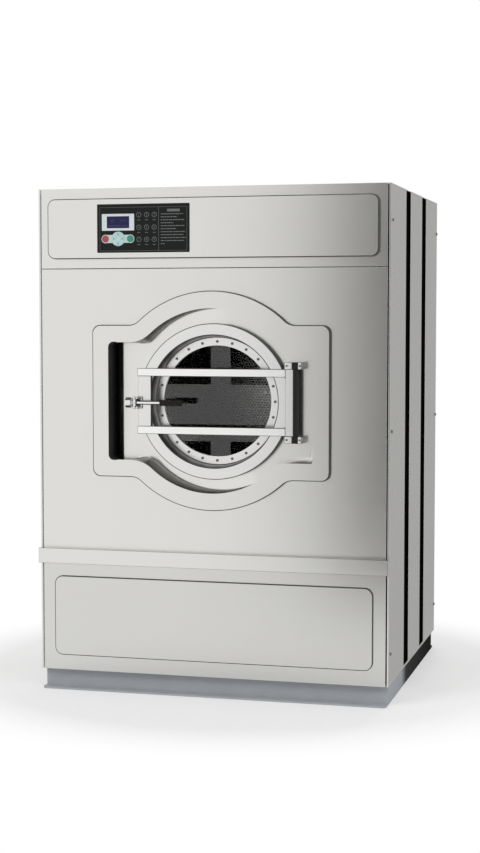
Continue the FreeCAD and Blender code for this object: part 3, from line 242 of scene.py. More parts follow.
# Keypad, measured across and down from its top left corner
KEYPAD_CORNER = 2.5
KEYPAD_FILLET = 1.2
KEY_ROW = 106.0
STOP_ACROSS = 27.5
NAV_ACROSS = 68.5
START_ACROSS = 107.5
PROGRAM_ACROSS = (134.7, 159.6, 184.0)
PROGRAM_DOWN = (33.8, 71.7, 108.4)
PROGRAM_RADIUS = 7.6
PROGRAM_LINE = 1.0
FIGURE_SIZE = 10.0
UNDERLINE_HALF = 5.0
UNDERLINE_TOP = 14.7
UNDERLINE_FOOT = 16.5
BORDER_LEFT = 9.0
BORDER_TOP = 10.0
BORDER_RIGHT = 7.0
BORDER_FOOT = 5.0
BORDER_LINE = 0.8
DIVIDER_ACROSS = 198.0
DIVIDER_HALF = 0.5
RULES_ACROSS = 205.0
RULES_DOWN = 32.0
RULE_PITCH = 9.0
RULE_HALF = 1.3
RULE_GAP = 1.6
RULE_DASHES = (7.0, 11.0, 5.0, 9.0)
RULE_LENGTHS = (70.0, 52.0, 74.0, 40.0, 75.0, 48.0, 78.0, 72.0, 80.0, 74.0, 12.0)
BLANK_BAR_ACROSS = 245.0
BLANK_BAR_DOWN = 21.0
BLANK_BAR_HALF_WIDTH = 20.0
BLANK_BAR_HALF_HEIGHT = 4.0
PRINT_LIFT = 0.12
PRINT_WALL = 0.1

# Display; its reading is placed from the middle of the screen
DISPLAY_CORNER = 1.6
DISPLAY_FILLET = 0.8
DISPLAY_SINK = 0.3
SCREEN_WIDTH = 72.0
SCREEN_HEIGHT = 36.0
SCREEN_CORNER = 1.0
SCREEN_LIFT = 0.2
DOT_PITCH = 0.56
DOT_GAP = 0.16
READING_LIFT = 0.3
READING_Z = 4.0
READING_BARS = 8
READING_BAR_START = -31.0
READING_BAR_PITCH = 8.0
READING_BAR_WIDTH = 5.5
READING_BAR_FOOT = -13.0
READING_BAR_TOP = -9.0

# Keys
KEY_FLANGE = 2.5
KEY_FLANGE_DEPTH = 2.0
KEY_STEPS = 48
NAV_STEPS = 64
NAV_BORE = 9.3
NAV_MARK_LIFT = 0.08
NAV_MARK_TIP = 3.2
NAV_MARK_BASE = 2.6
NAV_MARK_HALF = 4.6
KEY_PLATE_LIFT = 0.35
KEY_PLATE_WALL = 0.3
KEY_PLATE_END = 13.0
KEY_PLATE_MIDDLE = 22.0
KEY_PLATE_WAIST = 12.2
KEY_PLATE_STEPS = 120

# Stage: cards in millimetres on the machine, floor, lamps and camera in metres, turns in degrees
CARD_Y = -3000.0
CARD_LIFT = 3.0
FLOOR_HALF = 14.0
FLOOR_FADE_START = 0.6
FLOOR_FADE_END = 1.2
SHADOW_EASE = 0.4
LAMP_AIM = (0.0, 0.0, 0.8)
LAMP_WIDTH = 2.4
CAMERA_PLACE = (1.384, -5.36675, 1.17358)
CAMERA_LENS = 70.64
CAMERA_SENSOR = 36.0
CAMERA_TILT = 3.79
CAMERA_TURN = 14.75

# Places of the colour sockets on a mix node
MIX_FIRST = 6
MIX_SECOND = 7
MIX_RESULT = 2

# Finishes
FULL_FRONT = 0.98
CLOUD_SHARE = 0.12
CLOUD_TONE = 0.86
SMEAR = 0.02
# Tone of the painted shade at a cone's mouth.
MOUTH_SHADE_TONE = 0.12
# Tone of the painted shade in the wedge by the hinge.
HINGE_WEDGE_SHADE_TONE = 0.16
MOULD_MOTTLE = 0.18
PAINT_MOTTLE = 0.1
PAINT_GRAIN = 420.0
DUST_SHARE = 0.35
DUST_TONE = (0.42, 0.41, 0.39, 1.0)
# Black of the painted shade behind the base's front corner.
BEHIND_SHADE_TONE = (0.008, 0.008, 0.008, 1.0)
GLASS_IOR = 1.45
SCREEN_GLOW = 0.3


# Node trees
def feed(tree, socket, value):
    """Link a socket to another socket, or set it to a plain value."""
    if isinstance(value, bpy.types.NodeSocket):
        tree.links.new(value, socket)
    else:
        socket.default_value = value


def calc(tree, operation, *values):
    """The result of a sum on plain values or sockets."""
    node = tree.nodes.new("ShaderNodeMath")
    node.operation = operation
    for socket, value in zip(node.inputs, values):
        feed(tree, socket, value)
    return node.outputs[0]


def vector_calc(tree, operation, first, second):
    """The result of a sum on two vectors."""
    node = tree.nodes.new("ShaderNodeVectorMath")
    node.operation = operation
    feed(tree, node.inputs[0], first)
    feed(tree, node.inputs[1], second)
    return node.outputs[0]


def noise(tree, place, scale, detail, rough=0.5):
    """Soft noise at a place, from 0 to 1."""
    node = tree.nodes.new("ShaderNodeTexNoise")
    feed(tree, node.inputs["Vector"], place)
    feed(tree, node.inputs["Scale"], scale)
    node.inputs["Detail"].default_value = detail
    node.inputs["Roughness"].default_value = rough
    return node.outputs[0]


def colour_mix(tree, factor, first, second):
    """A colour between two others, by a factor."""
    node = tree.nodes.new("ShaderNodeMix")
    node.data_type = "RGBA"
    feed(tree, node.inputs[0], factor)
    feed(tree, node.inputs[MIX_FIRST], first)
    feed(tree, node.inputs[MIX_SECOND], second)
    return node.outputs[MIX_RESULT]


def spread(tree, mask, low, high):
    """Stretch a mask from 0..1 to low..high."""
    return calc(tree, "MULTIPLY_ADD", mask, high - low, low)


def object_place(tree):
    """The place of a spot on a piece, in the frame's metres."""
    return tree.nodes.new("ShaderNodeTexCoord").outputs["Object"]


def split_up(tree, vector):
    """X, Y and Z of a vector, as values of their own."""
    node = tree.nodes.new("ShaderNodeSeparateXYZ")
    feed(tree, node.inputs[0], vector)
    return node.outputs


def joined(tree, **parts):
    """A vector from the parts that are given; the others are 0."""
    node = tree.nodes.new("ShaderNodeCombineXYZ")
    for axis, value in parts.items():
        feed(tree, node.inputs[axis], value)
    return node.outputs[0]


def length_of(tree, vector):
    """How long a vector is."""
    node = tree.nodes.new("ShaderNodeVectorMath")
    node.operation = "LENGTH"
    feed(tree, node.inputs[0], vector)
    return node.outputs["Value"]


def ranged(tree, value, start, end):
    """A value eased from 0 at the start of a range to 1 at its end."""
    node = tree.nodes.new("ShaderNodeMapRange")
    node.interpolation_type = "SMOOTHSTEP"
    feed(tree, node.inputs["Value"], value)
    node.inputs["From Min"].default_value = start
    node.inputs["From Max"].default_value = end
    return node.outputs[0]


def past_place(tree, start, end):
    """A mask that rises from 0 to 1 between two places along the machine's depth."""
    along = split_up(tree, object_place(tree))["Y"]
    return ranged(tree, along, at(0, start, 0).y, at(0, end, 0).y)


def facing_front(tree, side):
    """A mask that is 0 on the sides of a piece and 1 on what faces the front or the back, for painted
    side shade.
    """
    normal = tree.nodes.new("ShaderNodeTexCoord").outputs["Normal"]
    towards = calc(tree, "ABSOLUTE", split_up(tree, normal)["Y"])
    return ranged(tree, towards, side, FULL_FRONT)


def hinge_shade(tree):
    """A mask of the wedge of painted shade along the foot of the recess by the hinge."""
    place = split_up(tree, object_place(tree))
    foot = at(0, 0, DOOR_Z - SURROUND_LOBE_DROP - SURROUND_HALF_HEIGHT + RECESS_INSET).z
    along = ranged(tree, place["X"], at(HINGE_FADE_X, 0, 0).x, at(HINGE_SHADE_FULL, 0, 0).x)
    wedge = calc(tree, "MULTIPLY", along, HINGE_SHADE_HEIGHT * MM)
    wedge = calc(tree, "MAXIMUM", wedge, HINGE_SHADE_THIN * MM)
    rise = calc(tree, "SUBTRACT", place["Z"], foot)
    fall = calc(tree, "SUBTRACT", 1.0, ranged(tree, calc(tree, "DIVIDE", rise, wedge), 0.0, 1.0))
    end = calc(tree, "MULTIPLY_ADD", rise, -HINGE_SHADE_LEAN, place["X"])
    inside = calc(tree, "LESS_THAN", end, at(HINGE_SHADE_END, 0, 0).x)
    above = calc(tree, "GREATER_THAN", rise, 0.0)
    return calc(tree, "MULTIPLY", fall, calc(tree, "MULTIPLY", above, inside))


def shader_group(name, inputs, outputs):
    """A shader node group with named sockets; gives the group and both ends' sockets."""
    group = bpy.data.node_groups.new(name, "ShaderNodeTree")
    for label, kind in inputs:
        group.interface.new_socket(label, in_out="INPUT", socket_type=kind)
    for label in outputs:
        group.interface.new_socket(label, in_out="OUTPUT", socket_type="NodeSocketFloat")
    source = group.nodes.new("NodeGroupInput")
    result = group.nodes.new("NodeGroupOutput")
    return group, source.outputs, result.inputs


def brushed_sheet_group():
    """Brushing streaks along one direction, with soft clouds and smears over the sheet."""
    group, source, result = shader_group(
        "brushed_sheet",
        [("Stretch", "NodeSocketVector"), ("Fineness", "NodeSocketFloat")],
        ["Streaks", "Cloud", "Smears"])
    place = object_place(group)
    stretched = vector_calc(group, "MULTIPLY", place, source["Stretch"])
    feed(group, result["Streaks"], noise(group, stretched, source["Fineness"], 3.0, 0.65))
    feed(group, result["Cloud"], noise(group, place, 2.3, 2.0))
    feed(group, result["Smears"], noise(group, place, 14.0, 4.0, 0.6))
    return group


def moulded_surface_group():
    """Fine moulded grain with a slow change of shade."""
    group, source, result = shader_group(
        "moulded_surface", [("Grain", "NodeSocketFloat")], ["Height", "Mottle"])
    place = object_place(group)
    feed(group, result["Height"], noise(group, place, source["Grain"], 3.0, 0.6))
    feed(group, result["Mottle"], noise(group, place, 11.0, 3.0))
    return group


def floor_dust_group():
    """Dust that lies thicker the nearer a surface is to the floor."""
    group, source, result = shader_group(
        "floor_dust", [("Reach", "NodeSocketFloat")], ["Dust"])
    place = object_place(group)
    height = calc(group, "DIVIDE", split_up(group, place)["Z"], source["Reach"])
    low = calc(group, "SUBTRACT", 1.0, height)
    low.node.use_clamp = True
    broken = spread(group, noise(group, place, 30.0, 4.0, 0.65), 0.2, 1.0)
    feed(group, result["Dust"], calc(group, "MULTIPLY", low, broken))
    return group


BRUSHED_SHEET = brushed_sheet_group()
MOULDED_SURFACE = moulded_surface_group()
FLOOR_DUST = floor_dust_group()


# Materials
def blank_material(name):
    """A new material, with its node tree and its shader's sockets."""
    material = bpy.data.materials.new(name)
    material.use_nodes = True
    tree = material.node_tree
    return material, tree, tree.nodes["Principled BSDF"].inputs


def placed_group(tree, group, **values):
    """A node group placed in a material with its own values."""
    node = tree.nodes.new("ShaderNodeGroup")
    node.node_tree = group
    for label, value in values.items():
        node.inputs[label].default_value = value
    return node.outputs


def bumped(tree, shader, height, strength, distance):
    """Let a height roughen a shader's normal."""
    bump = tree.nodes.new("ShaderNodeBump")
    bump.inputs["Strength"].default_value = strength
    bump.inputs["Distance"].default_value = distance
    feed(tree, bump.inputs["Height"], height)
    feed(tree, shader["Normal"], bump.outputs["Normal"])


def shade(tone, factor):
    """A tone made darker or lighter, as a full colour."""
    return tuple(min(part * factor, 1.0) for part in tone) + (1.0,)


def steel(name, tone, rough, stretch, fineness=700.0, streak=0.025, painted_mouth_shade=None, painted_side_shade=None,
          side=0.25, shaded=None):
    """Bare stainless steel with brushing along one direction, and painted shade where it is asked for."""
    material, tree, shader = blank_material(name)
    finish = placed_group(tree, BRUSHED_SHEET, Stretch=stretch, Fineness=fineness)
    colour = colour_mix(tree, finish["Streaks"], shade(tone, 1 - streak), shade(tone, 1 + streak))
    cloud = spread(tree, finish["Cloud"], 0.0, CLOUD_SHARE)
    colour = colour_mix(tree, cloud, colour, shade(tone, CLOUD_TONE))
    # Painted shade that darkens a cone towards its mouth.
    if painted_mouth_shade is not None:
        colour = colour_mix(tree, past_place(tree, *painted_mouth_shade), shade(tone, MOUTH_SHADE_TONE), colour)
    # Painted shade on the sides of a piece, by how far they turn from the front.
    if painted_side_shade is not None:
        colour = colour_mix(tree, facing_front(tree, side), shade(tone, painted_side_shade), colour)
    # Painted shade in the wedge along the foot of the hinge recess.
    if shaded is not None:
        colour = colour_mix(tree, shaded(tree), colour, shade(tone, HINGE_WEDGE_SHADE_TONE))
    feed(tree, shader["Base Color"], colour)
    smears = spread(tree, finish["Smears"], rough - SMEAR, rough + SMEAR)
    feed(tree, shader["Roughness"],
         calc(tree, "ADD", smears, spread(tree, finish["Cloud"], -SMEAR, SMEAR)))
    shader["Metallic"].default_value = 1.0
    bumped(tree, shader, finish["Streaks"], 0.02, 0.0001)
    return material


def moulded(name, tone, rough, grain=900.0, relief=0.25, coat=0.0, gloss=0.5):
    """Moulded plastic or rubber with a fine grain."""
    material, tree, shader = blank_material(name)
    surface = placed_group(tree, MOULDED_SURFACE, Grain=grain)
    colour = colour_mix(tree, surface["Mottle"], shade(tone, 1 - MOULD_MOTTLE),
                        shade(tone, 1 + MOULD_MOTTLE))
    feed(tree, shader["Base Color"], colour)
    feed(tree, shader["Roughness"], spread(tree, surface["Mottle"], rough - 0.06, rough + 0.06))
    shader["Specular IOR Level"].default_value = gloss
    shader["Coat Weight"].default_value = coat
    shader["Coat Roughness"].default_value = 0.08
    bumped(tree, shader, surface["Height"], relief, 0.0002)
    return material


def painted(name, tone, rough, dusty=0.0, painted_shade_behind=None, gloss=0.5):
    """Satin paint over metal, with dust low down and painted shade, black, behind a place where they are
    asked for.
    """
    material, tree, shader = blank_material(name)
    surface = placed_group(tree, MOULDED_SURFACE, Grain=PAINT_GRAIN)
    colour = colour_mix(tree, surface["Mottle"], shade(tone, 1 - PAINT_MOTTLE),
                        shade(tone, 1 + PAINT_MOTTLE))
    roughness = spread(tree, surface["Mottle"], rough - 0.05, rough + 0.08)
    if dusty:
        dust = placed_group(tree, FLOOR_DUST, Reach=dusty)["Dust"]
        colour = colour_mix(tree, spread(tree, dust, 0.0, DUST_SHARE), colour, DUST_TONE)
        roughness = calc(tree, "ADD", roughness, spread(tree, dust, 0.0, 0.2))
    # Black behind a place along the depth is painted shade.
    if painted_shade_behind is not None:
        colour = colour_mix(tree, past_place(tree, *painted_shade_behind), colour, BEHIND_SHADE_TONE)
    feed(tree, shader["Base Color"], colour)
    feed(tree, shader["Roughness"], roughness)
    shader["Specular IOR Level"].default_value = gloss
    bumped(tree, shader, surface["Height"], 0.12, 0.0003)
    return material


def clear_glass(name):
    """Polished door glass with a faint change of tint."""
    material, tree, shader = blank_material(name)
    finish = placed_group(tree, BRUSHED_SHEET, Stretch=(1.0, 1.0, 0.35), Fineness=24.0)
    tint = colour_mix(tree, finish["Cloud"], (0.86, 0.88, 0.86, 1.0), (0.92, 0.93, 0.91, 1.0))
    feed(tree, shader["Base Color"], tint)
    shader["Roughness"].default_value = 0.0
    shader["Transmission Weight"].default_value = 1.0
    shader["IOR"].default_value = GLASS_IOR
    return material


def lit_screen(name):
    """Blue violet display field with the faint grid of its dots."""
    material, tree, shader = blank_material(name)
    place = object_place(tree)
    parts = split_up(tree, place)
    lines = []
    for axis in ("X", "Z"):
        cell = calc(tree, "FRACT", calc(tree, "DIVIDE", parts[axis], DOT_PITCH * MM))
        lines.append(calc(tree, "GREATER_THAN", cell, DOT_GAP))
    dots = calc(tree, "MULTIPLY", lines[0], lines[1])
    cloud = noise(tree, place, 30.0, 2.0)
    field = colour_mix(tree, cloud, (0.011, 0.010, 0.042, 1.0), (0.016, 0.014, 0.058, 1.0))
    colour = colour_mix(tree, dots, (0.008, 0.007, 0.03, 1.0), field)
    feed(tree, shader["Base Color"], colour)
    feed(tree, shader["Emission Color"], colour)
    shader["Emission Strength"].default_value = SCREEN_GLOW
    shader["Specular IOR Level"].default_value = 0.2
    feed(tree, shader["Roughness"], spread(tree, cloud, 0.28, 0.36))
    return material


# Brushing directions, tones, and the finishes made with them
ACROSS = (0.02, 1.0, 1.0)
UPRIGHT = (1.0, 1.0, 0.02)
ALL_ROUND = (1.0, 1.0, 1.0)
STEEL_TONE = (0.735, 0.728, 0.700)
LOW_TONE = (0.655, 0.65, 0.626)
BRIGHT_TONE = (0.76, 0.755, 0.74)
satin_front = steel("satin_front", STEEL_TONE, 0.26, ACROSS)
satin_low = steel("satin_low", LOW_TONE, 0.26, ACROSS)
satin_side = steel("satin_side", STEEL_TONE, 0.28, UPRIGHT, fineness=160.0, streak=0.006)
# Painted shade on the surround's recess walls and in the wedge by the hinge.
pressed_steel = steel("pressed_steel", STEEL_TONE, 0.26, ACROSS, painted_side_shade=0.3, shaded=hinge_shade)
spun_steel = steel("spun_steel", BRIGHT_TONE, 0.24, ALL_ROUND, fineness=420.0, streak=0.012)
# The cone carries painted shade towards its mouth.
cone_steel = steel("cone_steel", (0.66, 0.655, 0.64), 0.40, ALL_ROUND, fineness=420.0, streak=0.015,
                   painted_mouth_shade=(-32.0, 16.0))
# Bars, plates and the lever's rod carry painted shade on their sides.
bar_steel = steel("bar_steel", (0.90, 0.895, 0.88), 0.26, ACROSS, fineness=900.0, streak=0.012,
                  painted_side_shade=0.2)
plate_steel = steel("plate_steel", (0.76, 0.755, 0.74), 0.26, ACROSS, fineness=900.0, streak=0.012,
                    painted_side_shade=0.2)
latch_steel = steel("latch_steel", (0.86, 0.855, 0.84), 0.24, UPRIGHT, fineness=900.0, painted_side_shade=0.05,
                    side=0.78)
turned_steel = steel("turned_steel", BRIGHT_TONE, 0.22, UPRIGHT, fineness=900.0)
# Darker than the cabinet's steel: painted shade inside the drum.
drum_sheet = steel("drum_sheet", (0.50, 0.50, 0.49), 0.26, ALL_ROUND, fineness=300.0)
bolt_steel = steel("bolt_steel", (0.20, 0.20, 0.20), 0.38, ALL_ROUND, fineness=500.0)
bearing_steel = steel("bearing_steel", (0.70, 0.70, 0.70), 0.15, ALL_ROUND, fineness=500.0)
turned_brass = steel("turned_brass", (0.66, 0.50, 0.22), 0.25, ALL_ROUND, fineness=500.0)
cast_iron = painted("cast_iron", (0.20, 0.20, 0.20), 0.6)
# The base's sides turn black behind the front corner: painted shade.
base_paint = painted("base_paint", (0.38, 0.405, 0.44), 0.5, dusty=0.06, painted_shade_behind=(265.0, 385.0))
motor_paint = painted("motor_paint", (0.16, 0.22, 0.30), 0.45)
dark_channel = painted("dark_channel", (0.004, 0.004, 0.004), 0.6, gloss=0.0)
# Dark strips of painted shade along edges, walls and seams.
edge_shadow = painted("edge_shadow", (0.035, 0.036, 0.033), 0.5)
# Dark discs for the drum's holes: painted shade seen through them.
painted_hole_shade = painted("painted_hole_shade", (0.008, 0.008, 0.008), 0.7)
# A pale coat of painted light that lightens the seams on the left.
seam_light_paint = painted("seam_light_paint", (0.80, 0.80, 0.78), 0.6)
black_steel = painted("black_steel", (0.009, 0.009, 0.010), 0.42, gloss=0.25)
# The pocket's black also stands in for the deep shade in its slot; the cable gland's black is its own.
pocket_black = moulded("pocket_black", (0.006, 0.006, 0.006), 0.6)
grip_brown = moulded("grip_brown", (0.007, 0.005, 0.0045), 0.42, gloss=0.2)
seal_rubber = moulded("seal_rubber", (0.04, 0.04, 0.042), 0.6)
belt_rubber = moulded("belt_rubber", (0.02, 0.02, 0.02), 0.65)
keypad_black = moulded("keypad_black", (0.005, 0.006, 0.0055), 0.42, grain=1400.0, relief=0.12,
                       gloss=0.2)
print_grey = moulded("print_grey", (0.13, 0.14, 0.13), 0.5, gloss=0.2)
print_pale = moulded("print_pale", (0.20, 0.21, 0.205), 0.5, gloss=0.2)
bezel_white = moulded("bezel_white", (0.60, 0.63, 0.65), 0.34, gloss=0.3)
screen_violet = lit_screen("screen_violet")
screen_digits = moulded("screen_digits", (0.045, 0.04, 0.12), 0.35, gloss=0.2)
key_plate = moulded("key_plate", (0.47, 0.58, 0.56), 0.35, gloss=0.3)
stop_red = moulded("stop_red", (0.31, 0.045, 0.05), 0.3, coat=0.2)
start_green = moulded("start_green", (0.03, 0.22, 0.14), 0.3, coat=0.2)
nav_mint = moulded("nav_mint", (0.40, 0.58, 0.58), 0.3, coat=0.2)
nav_mark = moulded("nav_mark", (0.10, 0.36, 0.38), 0.35)
enter_pale = moulded("enter_pale", (0.50, 0.57, 0.54), 0.3, coat=0.2)
board_green = moulded("board_green", (0.03, 0.18, 0.07), 0.5)
grey_plastic = moulded("grey_plastic", (0.25, 0.26, 0.27), 0.5)
door_glass = clear_glass("door_glass")
FINISH_OF_SLOT = {
    "satin_steel": satin_side, "bright_steel": turned_steel, "drum_steel": drum_sheet,
    "base_paint": base_paint, "dark_channel": dark_channel, "black_plastic": pocket_black,
    "black_steel": black_steel, "grip_plastic": grip_brown, "door_glass": door_glass,
    "seal_rubber": seal_rubber, "belt_rubber": belt_rubber, "bolt_steel": bolt_steel,
    "keypad_film": keypad_black, "display_film": bezel_white, "stop_red": stop_red,
    "start_green": start_green, "nav_teal": nav_mint, "enter_white": enter_pale,
    "board_green": board_green, "cast_grey": cast_iron, "motor_paint": motor_paint,
    "bearing_steel": bearing_steel, "brass": turned_brass, "grey_plastic": grey_plastic,
}


# Meshes
def mesh_from(name, points, faces, materials, picks=()):
    """A mesh of points and faces; picks gives each face's material by its number."""
    mesh = bpy.data.meshes.new(name)
    mesh.from_pydata(points, [], faces)
    for material in materials:
        mesh.materials.append(material)
    if picks:
        mesh.polygons.foreach_set("material_index", picks)
    return mesh


def smoothed(mesh, angle=SMOOTH_ANGLE):
    """Shade a mesh smooth, up to an angle in degrees."""
    mesh.shade_smooth()
    mesh.set_sharp_from_angle(angle=math.radians(angle))


def tidied(mesh):
    """Merge doubles, turn the faces outwards and smooth what is round."""
    shape = bmesh.new()
    shape.from_mesh(mesh)
    bmesh.ops.remove_doubles(shape, verts=shape.verts, dist=1e-6)
    bmesh.ops.recalc_face_normals(shape, faces=shape.faces)
    shape.to_mesh(mesh)
    shape.free()
    smoothed(mesh)
    return mesh


def put(name, mesh, body, slot, *nodes):
    """Put a finished mesh into the scene as a piece that rides on a body and stands for nodes."""
    piece = bpy.data.objects.new(name, mesh)
    bpy.context.scene.collection.objects.link(piece)
    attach(piece, body)
    if nodes:
        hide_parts(*nodes)
    return piece


def stand_in(node, mesh):
    """Put a mesh in the place of one solid."""
    return put(node + "_look", mesh, BODY_OF[node], SLOT_OF[node], node)


def even_normals(piece):
    """Shade wide flat faces flat and keep the soft light to the eased edges."""
    modifier = piece.modifiers.new("even_normals", "WEIGHTED_NORMAL")
    modifier.keep_sharp = True


def skin(loops, cap_first=False, cap_last=False, ring=False):
    """Points, faces and row numbers of a skin over closed loops of the same count."""
    count = len(loops[0])
    points = [spot for loop in loops for spot in loop]
    faces = []
    rows = []
    row_total = len(loops) if ring else len(loops) - 1
    for row in range(row_total):
        below = row * count
        above = (row + 1) % len(loops) * count
        for column in range(count):
            after = (column + 1) % count
            faces.append((below + column, below + after, above + after, above + column))
            rows.append(row)
    if cap_first:
        faces.append(tuple(reversed(range(count))))
        rows.append(0)
    if cap_last:
        faces.append(tuple(range((len(loops) - 1) * count, len(loops) * count)))
        rows.append(len(loops) - 2)
    return points, faces, rows


def softened(corners, radii, steps):
    """Corners of a closed section, each rounded by its radius."""
    spots = []
    for index, radius in enumerate(radii):
        here = Vector(corners[index])
        if not radius:
            spots.append(here)
            continue
        before = (Vector(corners[index - 1]) - here).normalized()
        after = (Vector(corners[(index + 1) % len(corners)]) - here).normalized()
        half = before.angle(after) / 2
        centre = here + (before + after).normalized() * (radius / math.sin(half))
        start = here + before * (radius / math.tan(half)) - centre
        end = here + after * (radius / math.tan(half)) - centre
        for step in range(steps + 1):
            spots.append(centre + start.slerp(end, step / steps) * radius)
    return spots


def turned(name, section, axis, centre, materials, steps, pick=None):
    """A piece turned about an axis; section lists (radius, place along the axis) round its edge."""
    loops = []
    for radius, along in section:
        loop = []
        for step in range(steps):
            turn = 2 * math.pi * step / steps
            first = centre[0] + radius * math.cos(turn)
            second = centre[1] + radius * math.sin(turn)
            if axis == "X":
                loop.append(at(along, first, second))
            elif axis == "Y":
                loop.append(at(first, along, second))
            else:
                loop.append(at(first, second, along))
        loops.append(loop)
    points, faces, rows = skin(loops, ring=True)
    picks = [pick(row) for row in rows] if pick else ()
    return tidied(mesh_from(name, points, faces, materials, picks))


def eased(node, width, material, segments=2, edge_finish=None):
    """Round the sharp edges of a copy of a solid, in a finish of their own where one is given."""
    mesh = frame["nodes"][node].data.copy()
    mesh.name = node + "_eased"
    mesh.materials.clear()
    mesh.materials.append(material)
    mesh.materials.append(edge_finish or material)
    shape = bmesh.new()
    shape.from_mesh(mesh)
    bmesh.ops.remove_doubles(shape, verts=shape.verts, dist=1e-5)
    bmesh.ops.dissolve_limit(shape, angle_limit=math.radians(FLAT_ANGLE), verts=shape.verts,
                             edges=shape.edges)
    sharp = []
    for edge in shape.edges:
        if len(edge.link_faces) == 2 and edge.calc_face_angle() > math.radians(SHARP_ANGLE):
            sharp.append(edge)
    for face in shape.faces:
        face.material_index = 0
    bmesh.ops.bevel(shape, geom=sharp, offset=width * MM, segments=segments, profile=0.5,
                    affect="EDGES", clamp_overlap=True, material=1)
    shape.to_mesh(mesh)
    shape.free()
    smoothed(mesh, EASED_SMOOTH_ANGLE)
    piece = stand_in(node, mesh)
    even_normals(piece)
    return piece


def rounded_loop(x, z, width, height, corner, y):
    """A rounded rectangle facing the front, anticlockwise as seen from there."""
    loop = []
    for side, rise, start in ((1, 1, 0), (-1, 1, 90), (-1, -1, 180), (1, -1, 270)):
        centre_x = x + side * (width / 2 - corner)
        centre_z = z + rise * (height / 2 - corner)
        for step in range(CORNER_STEPS + 1):
            turn = math.radians(start + 90 * step / CORNER_STEPS)
            loop.append(at(centre_x + corner * math.cos(turn), y, centre_z + corner * math.sin(turn)))
    return loop


def fillet_steps(radius, steps=5):
    """(inset, drop) pairs round a fillet, from the wall up to the face."""
    pairs = []
    for step in range(steps + 1):
        turn = math.radians(90 * step / steps)
        pairs.append((radius * (1 - math.cos(turn)), radius * (1 - math.sin(turn))))
    return pairs


def raised_field(node, corner, material):
    """A raised pan of sheet with a rounded edge and a dark strip of painted shade where it meets the
    panel.
    """
    x, z, width, height = front_view(node)
    low, high = span(node)
    section = [(SHEET, low.y + SHEET), (SHEET, high.y), (0.0, high.y)]
    for inset, drop in fillet_steps(EDGE_FILLET):
        section.append((inset, low.y + drop))
    section += [(EDGE_STRIP, low.y), (EDGE_STRIP + STRIP_GUARD, low.y)]
    loops = []
    for inset, y in section:
        loops.append(rounded_loop(x, z, width - 2 * inset, height - 2 * inset, corner - inset, y))
    points, faces, rows = skin(loops, cap_first=True, cap_last=True)
    picks = []
    for row in rows:
        next_inset = section[row + 1][0]
        picks.append(1 if row >= 1 and next_inset <= EDGE_STRIP else 0)
    picks[-2:] = [0, 0]
    mesh = mesh_from(node + "_field", points, faces, [material, edge_shadow], picks)
    even_normals(stand_in(node, tidied(mesh)))


# Door surround
def surround_quarter(side, rise, inset, corner):
    """(x, z) spots from the middle of a side lobe to the middle of the round part."""
    lobe_x = SURROUND_HALF_WIDTH - inset - side * SURROUND_ARC_X
    half_height = SURROUND_HALF_HEIGHT - inset - rise * SURROUND_LOBE_DROP
    radius = SURROUND_ARC - inset
    blend = SURROUND_BLEND + inset
    blend_z = half_height + blend
    blend_x = math.sqrt((radius + blend) ** 2 - blend_z ** 2)
    meeting = math.atan2(blend_z, blend_x)
    spots = []
    for step in range(SIDE_STEPS):
        spots.append((lobe_x, (half_height - corner) * (step + 0.5) / SIDE_STEPS))
    for step in range(CORNER_STEPS + 1):
        turn = math.radians(90 * step / CORNER_STEPS)
        spots.append((lobe_x - corner + corner * math.cos(turn),
                      half_height - corner + corner * math.sin(turn)))
    for step in range(1, LEDGE_STEPS):
        share = step / LEDGE_STEPS
        spots.append((lobe_x - corner + (blend_x - lobe_x + corner) * share, half_height))
    for step in range(BLEND_STEPS + 1):
        turn = -math.pi / 2 - (math.pi / 2 - meeting) * step / BLEND_STEPS
        spots.append((blend_x + blend * math.cos(turn), blend_z + blend * math.sin(turn)))
    for step in range(ARC_STEPS):
        turn = meeting + (math.pi / 2 - meeting) * (step + 0.5) / ARC_STEPS
        spots.append((radius * math.cos(turn), radius * math.sin(turn)))
    return [(SURROUND_ARC_X + side * across, DOOR_Z + rise * up) for across, up in spots]


def surround_loop(inset, corner):
    """The surround's outline drawn in by inset, anticlockwise as seen from the front."""
    loop = []
    for side, rise in ((1, 1), (-1, 1), (-1, -1), (1, -1)):
        quarter = surround_quarter(side, rise, inset, corner)
        if side * rise < 0:
            quarter.reverse()
        loop += quarter
    return loop


def eased_ramp(distance):
    """A ramp that starts softly from zero and soon rises in a straight line."""
    if distance < -FADE_LENGTH:
        return 0.0
    if distance > FADE_LENGTH:
        return distance
    return (distance + FADE_LENGTH) ** 2 / (4 * FADE_LENGTH)


def smooth_step(value):
    """Ease a value from 0 to 1."""
    value = min(max(value, 0.0), 1.0)
    return value * value * (3 - 2 * value)


def recess_depth(x, z):
    """How deep both sloping recess floors lie below the raised face at a spot."""
    rise = z - DOOR_Z
    lean = HAND_LEAN_UP if rise > 0 else HAND_LEAN_DOWN
    lean *= smooth_step((x - HAND_LEVEL_X) / (HAND_LEAN_X - HAND_LEVEL_X))
    fade_x = HAND_FADE_X + lean * (math.hypot(rise, HAND_FADE_BEND) - HAND_FADE_BEND)
    hand = HAND_SLOPE * eased_ramp(fade_x - x)
    low_down = smooth_step((-rise - HINGE_RECESS_TOP) / HINGE_RECESS_BLEND)
    return hand + HINGE_SLOPE * eased_ramp(x - HINGE_FADE_X) * low_down


def recess_draft(x):
    """How far the recess wall leans: upright round the pocket, wide towards the door."""
    if x > HINGE_FADE_X - FADE_LENGTH:
        return HINGE_DRAFT * smooth_step((HINGE_WALL_END - x) / HINGE_WALL_FADE)
    return HAND_DRAFT * smooth_step((x - HAND_DRAFT_START) / (HAND_DRAFT_FULL - HAND_DRAFT_START))


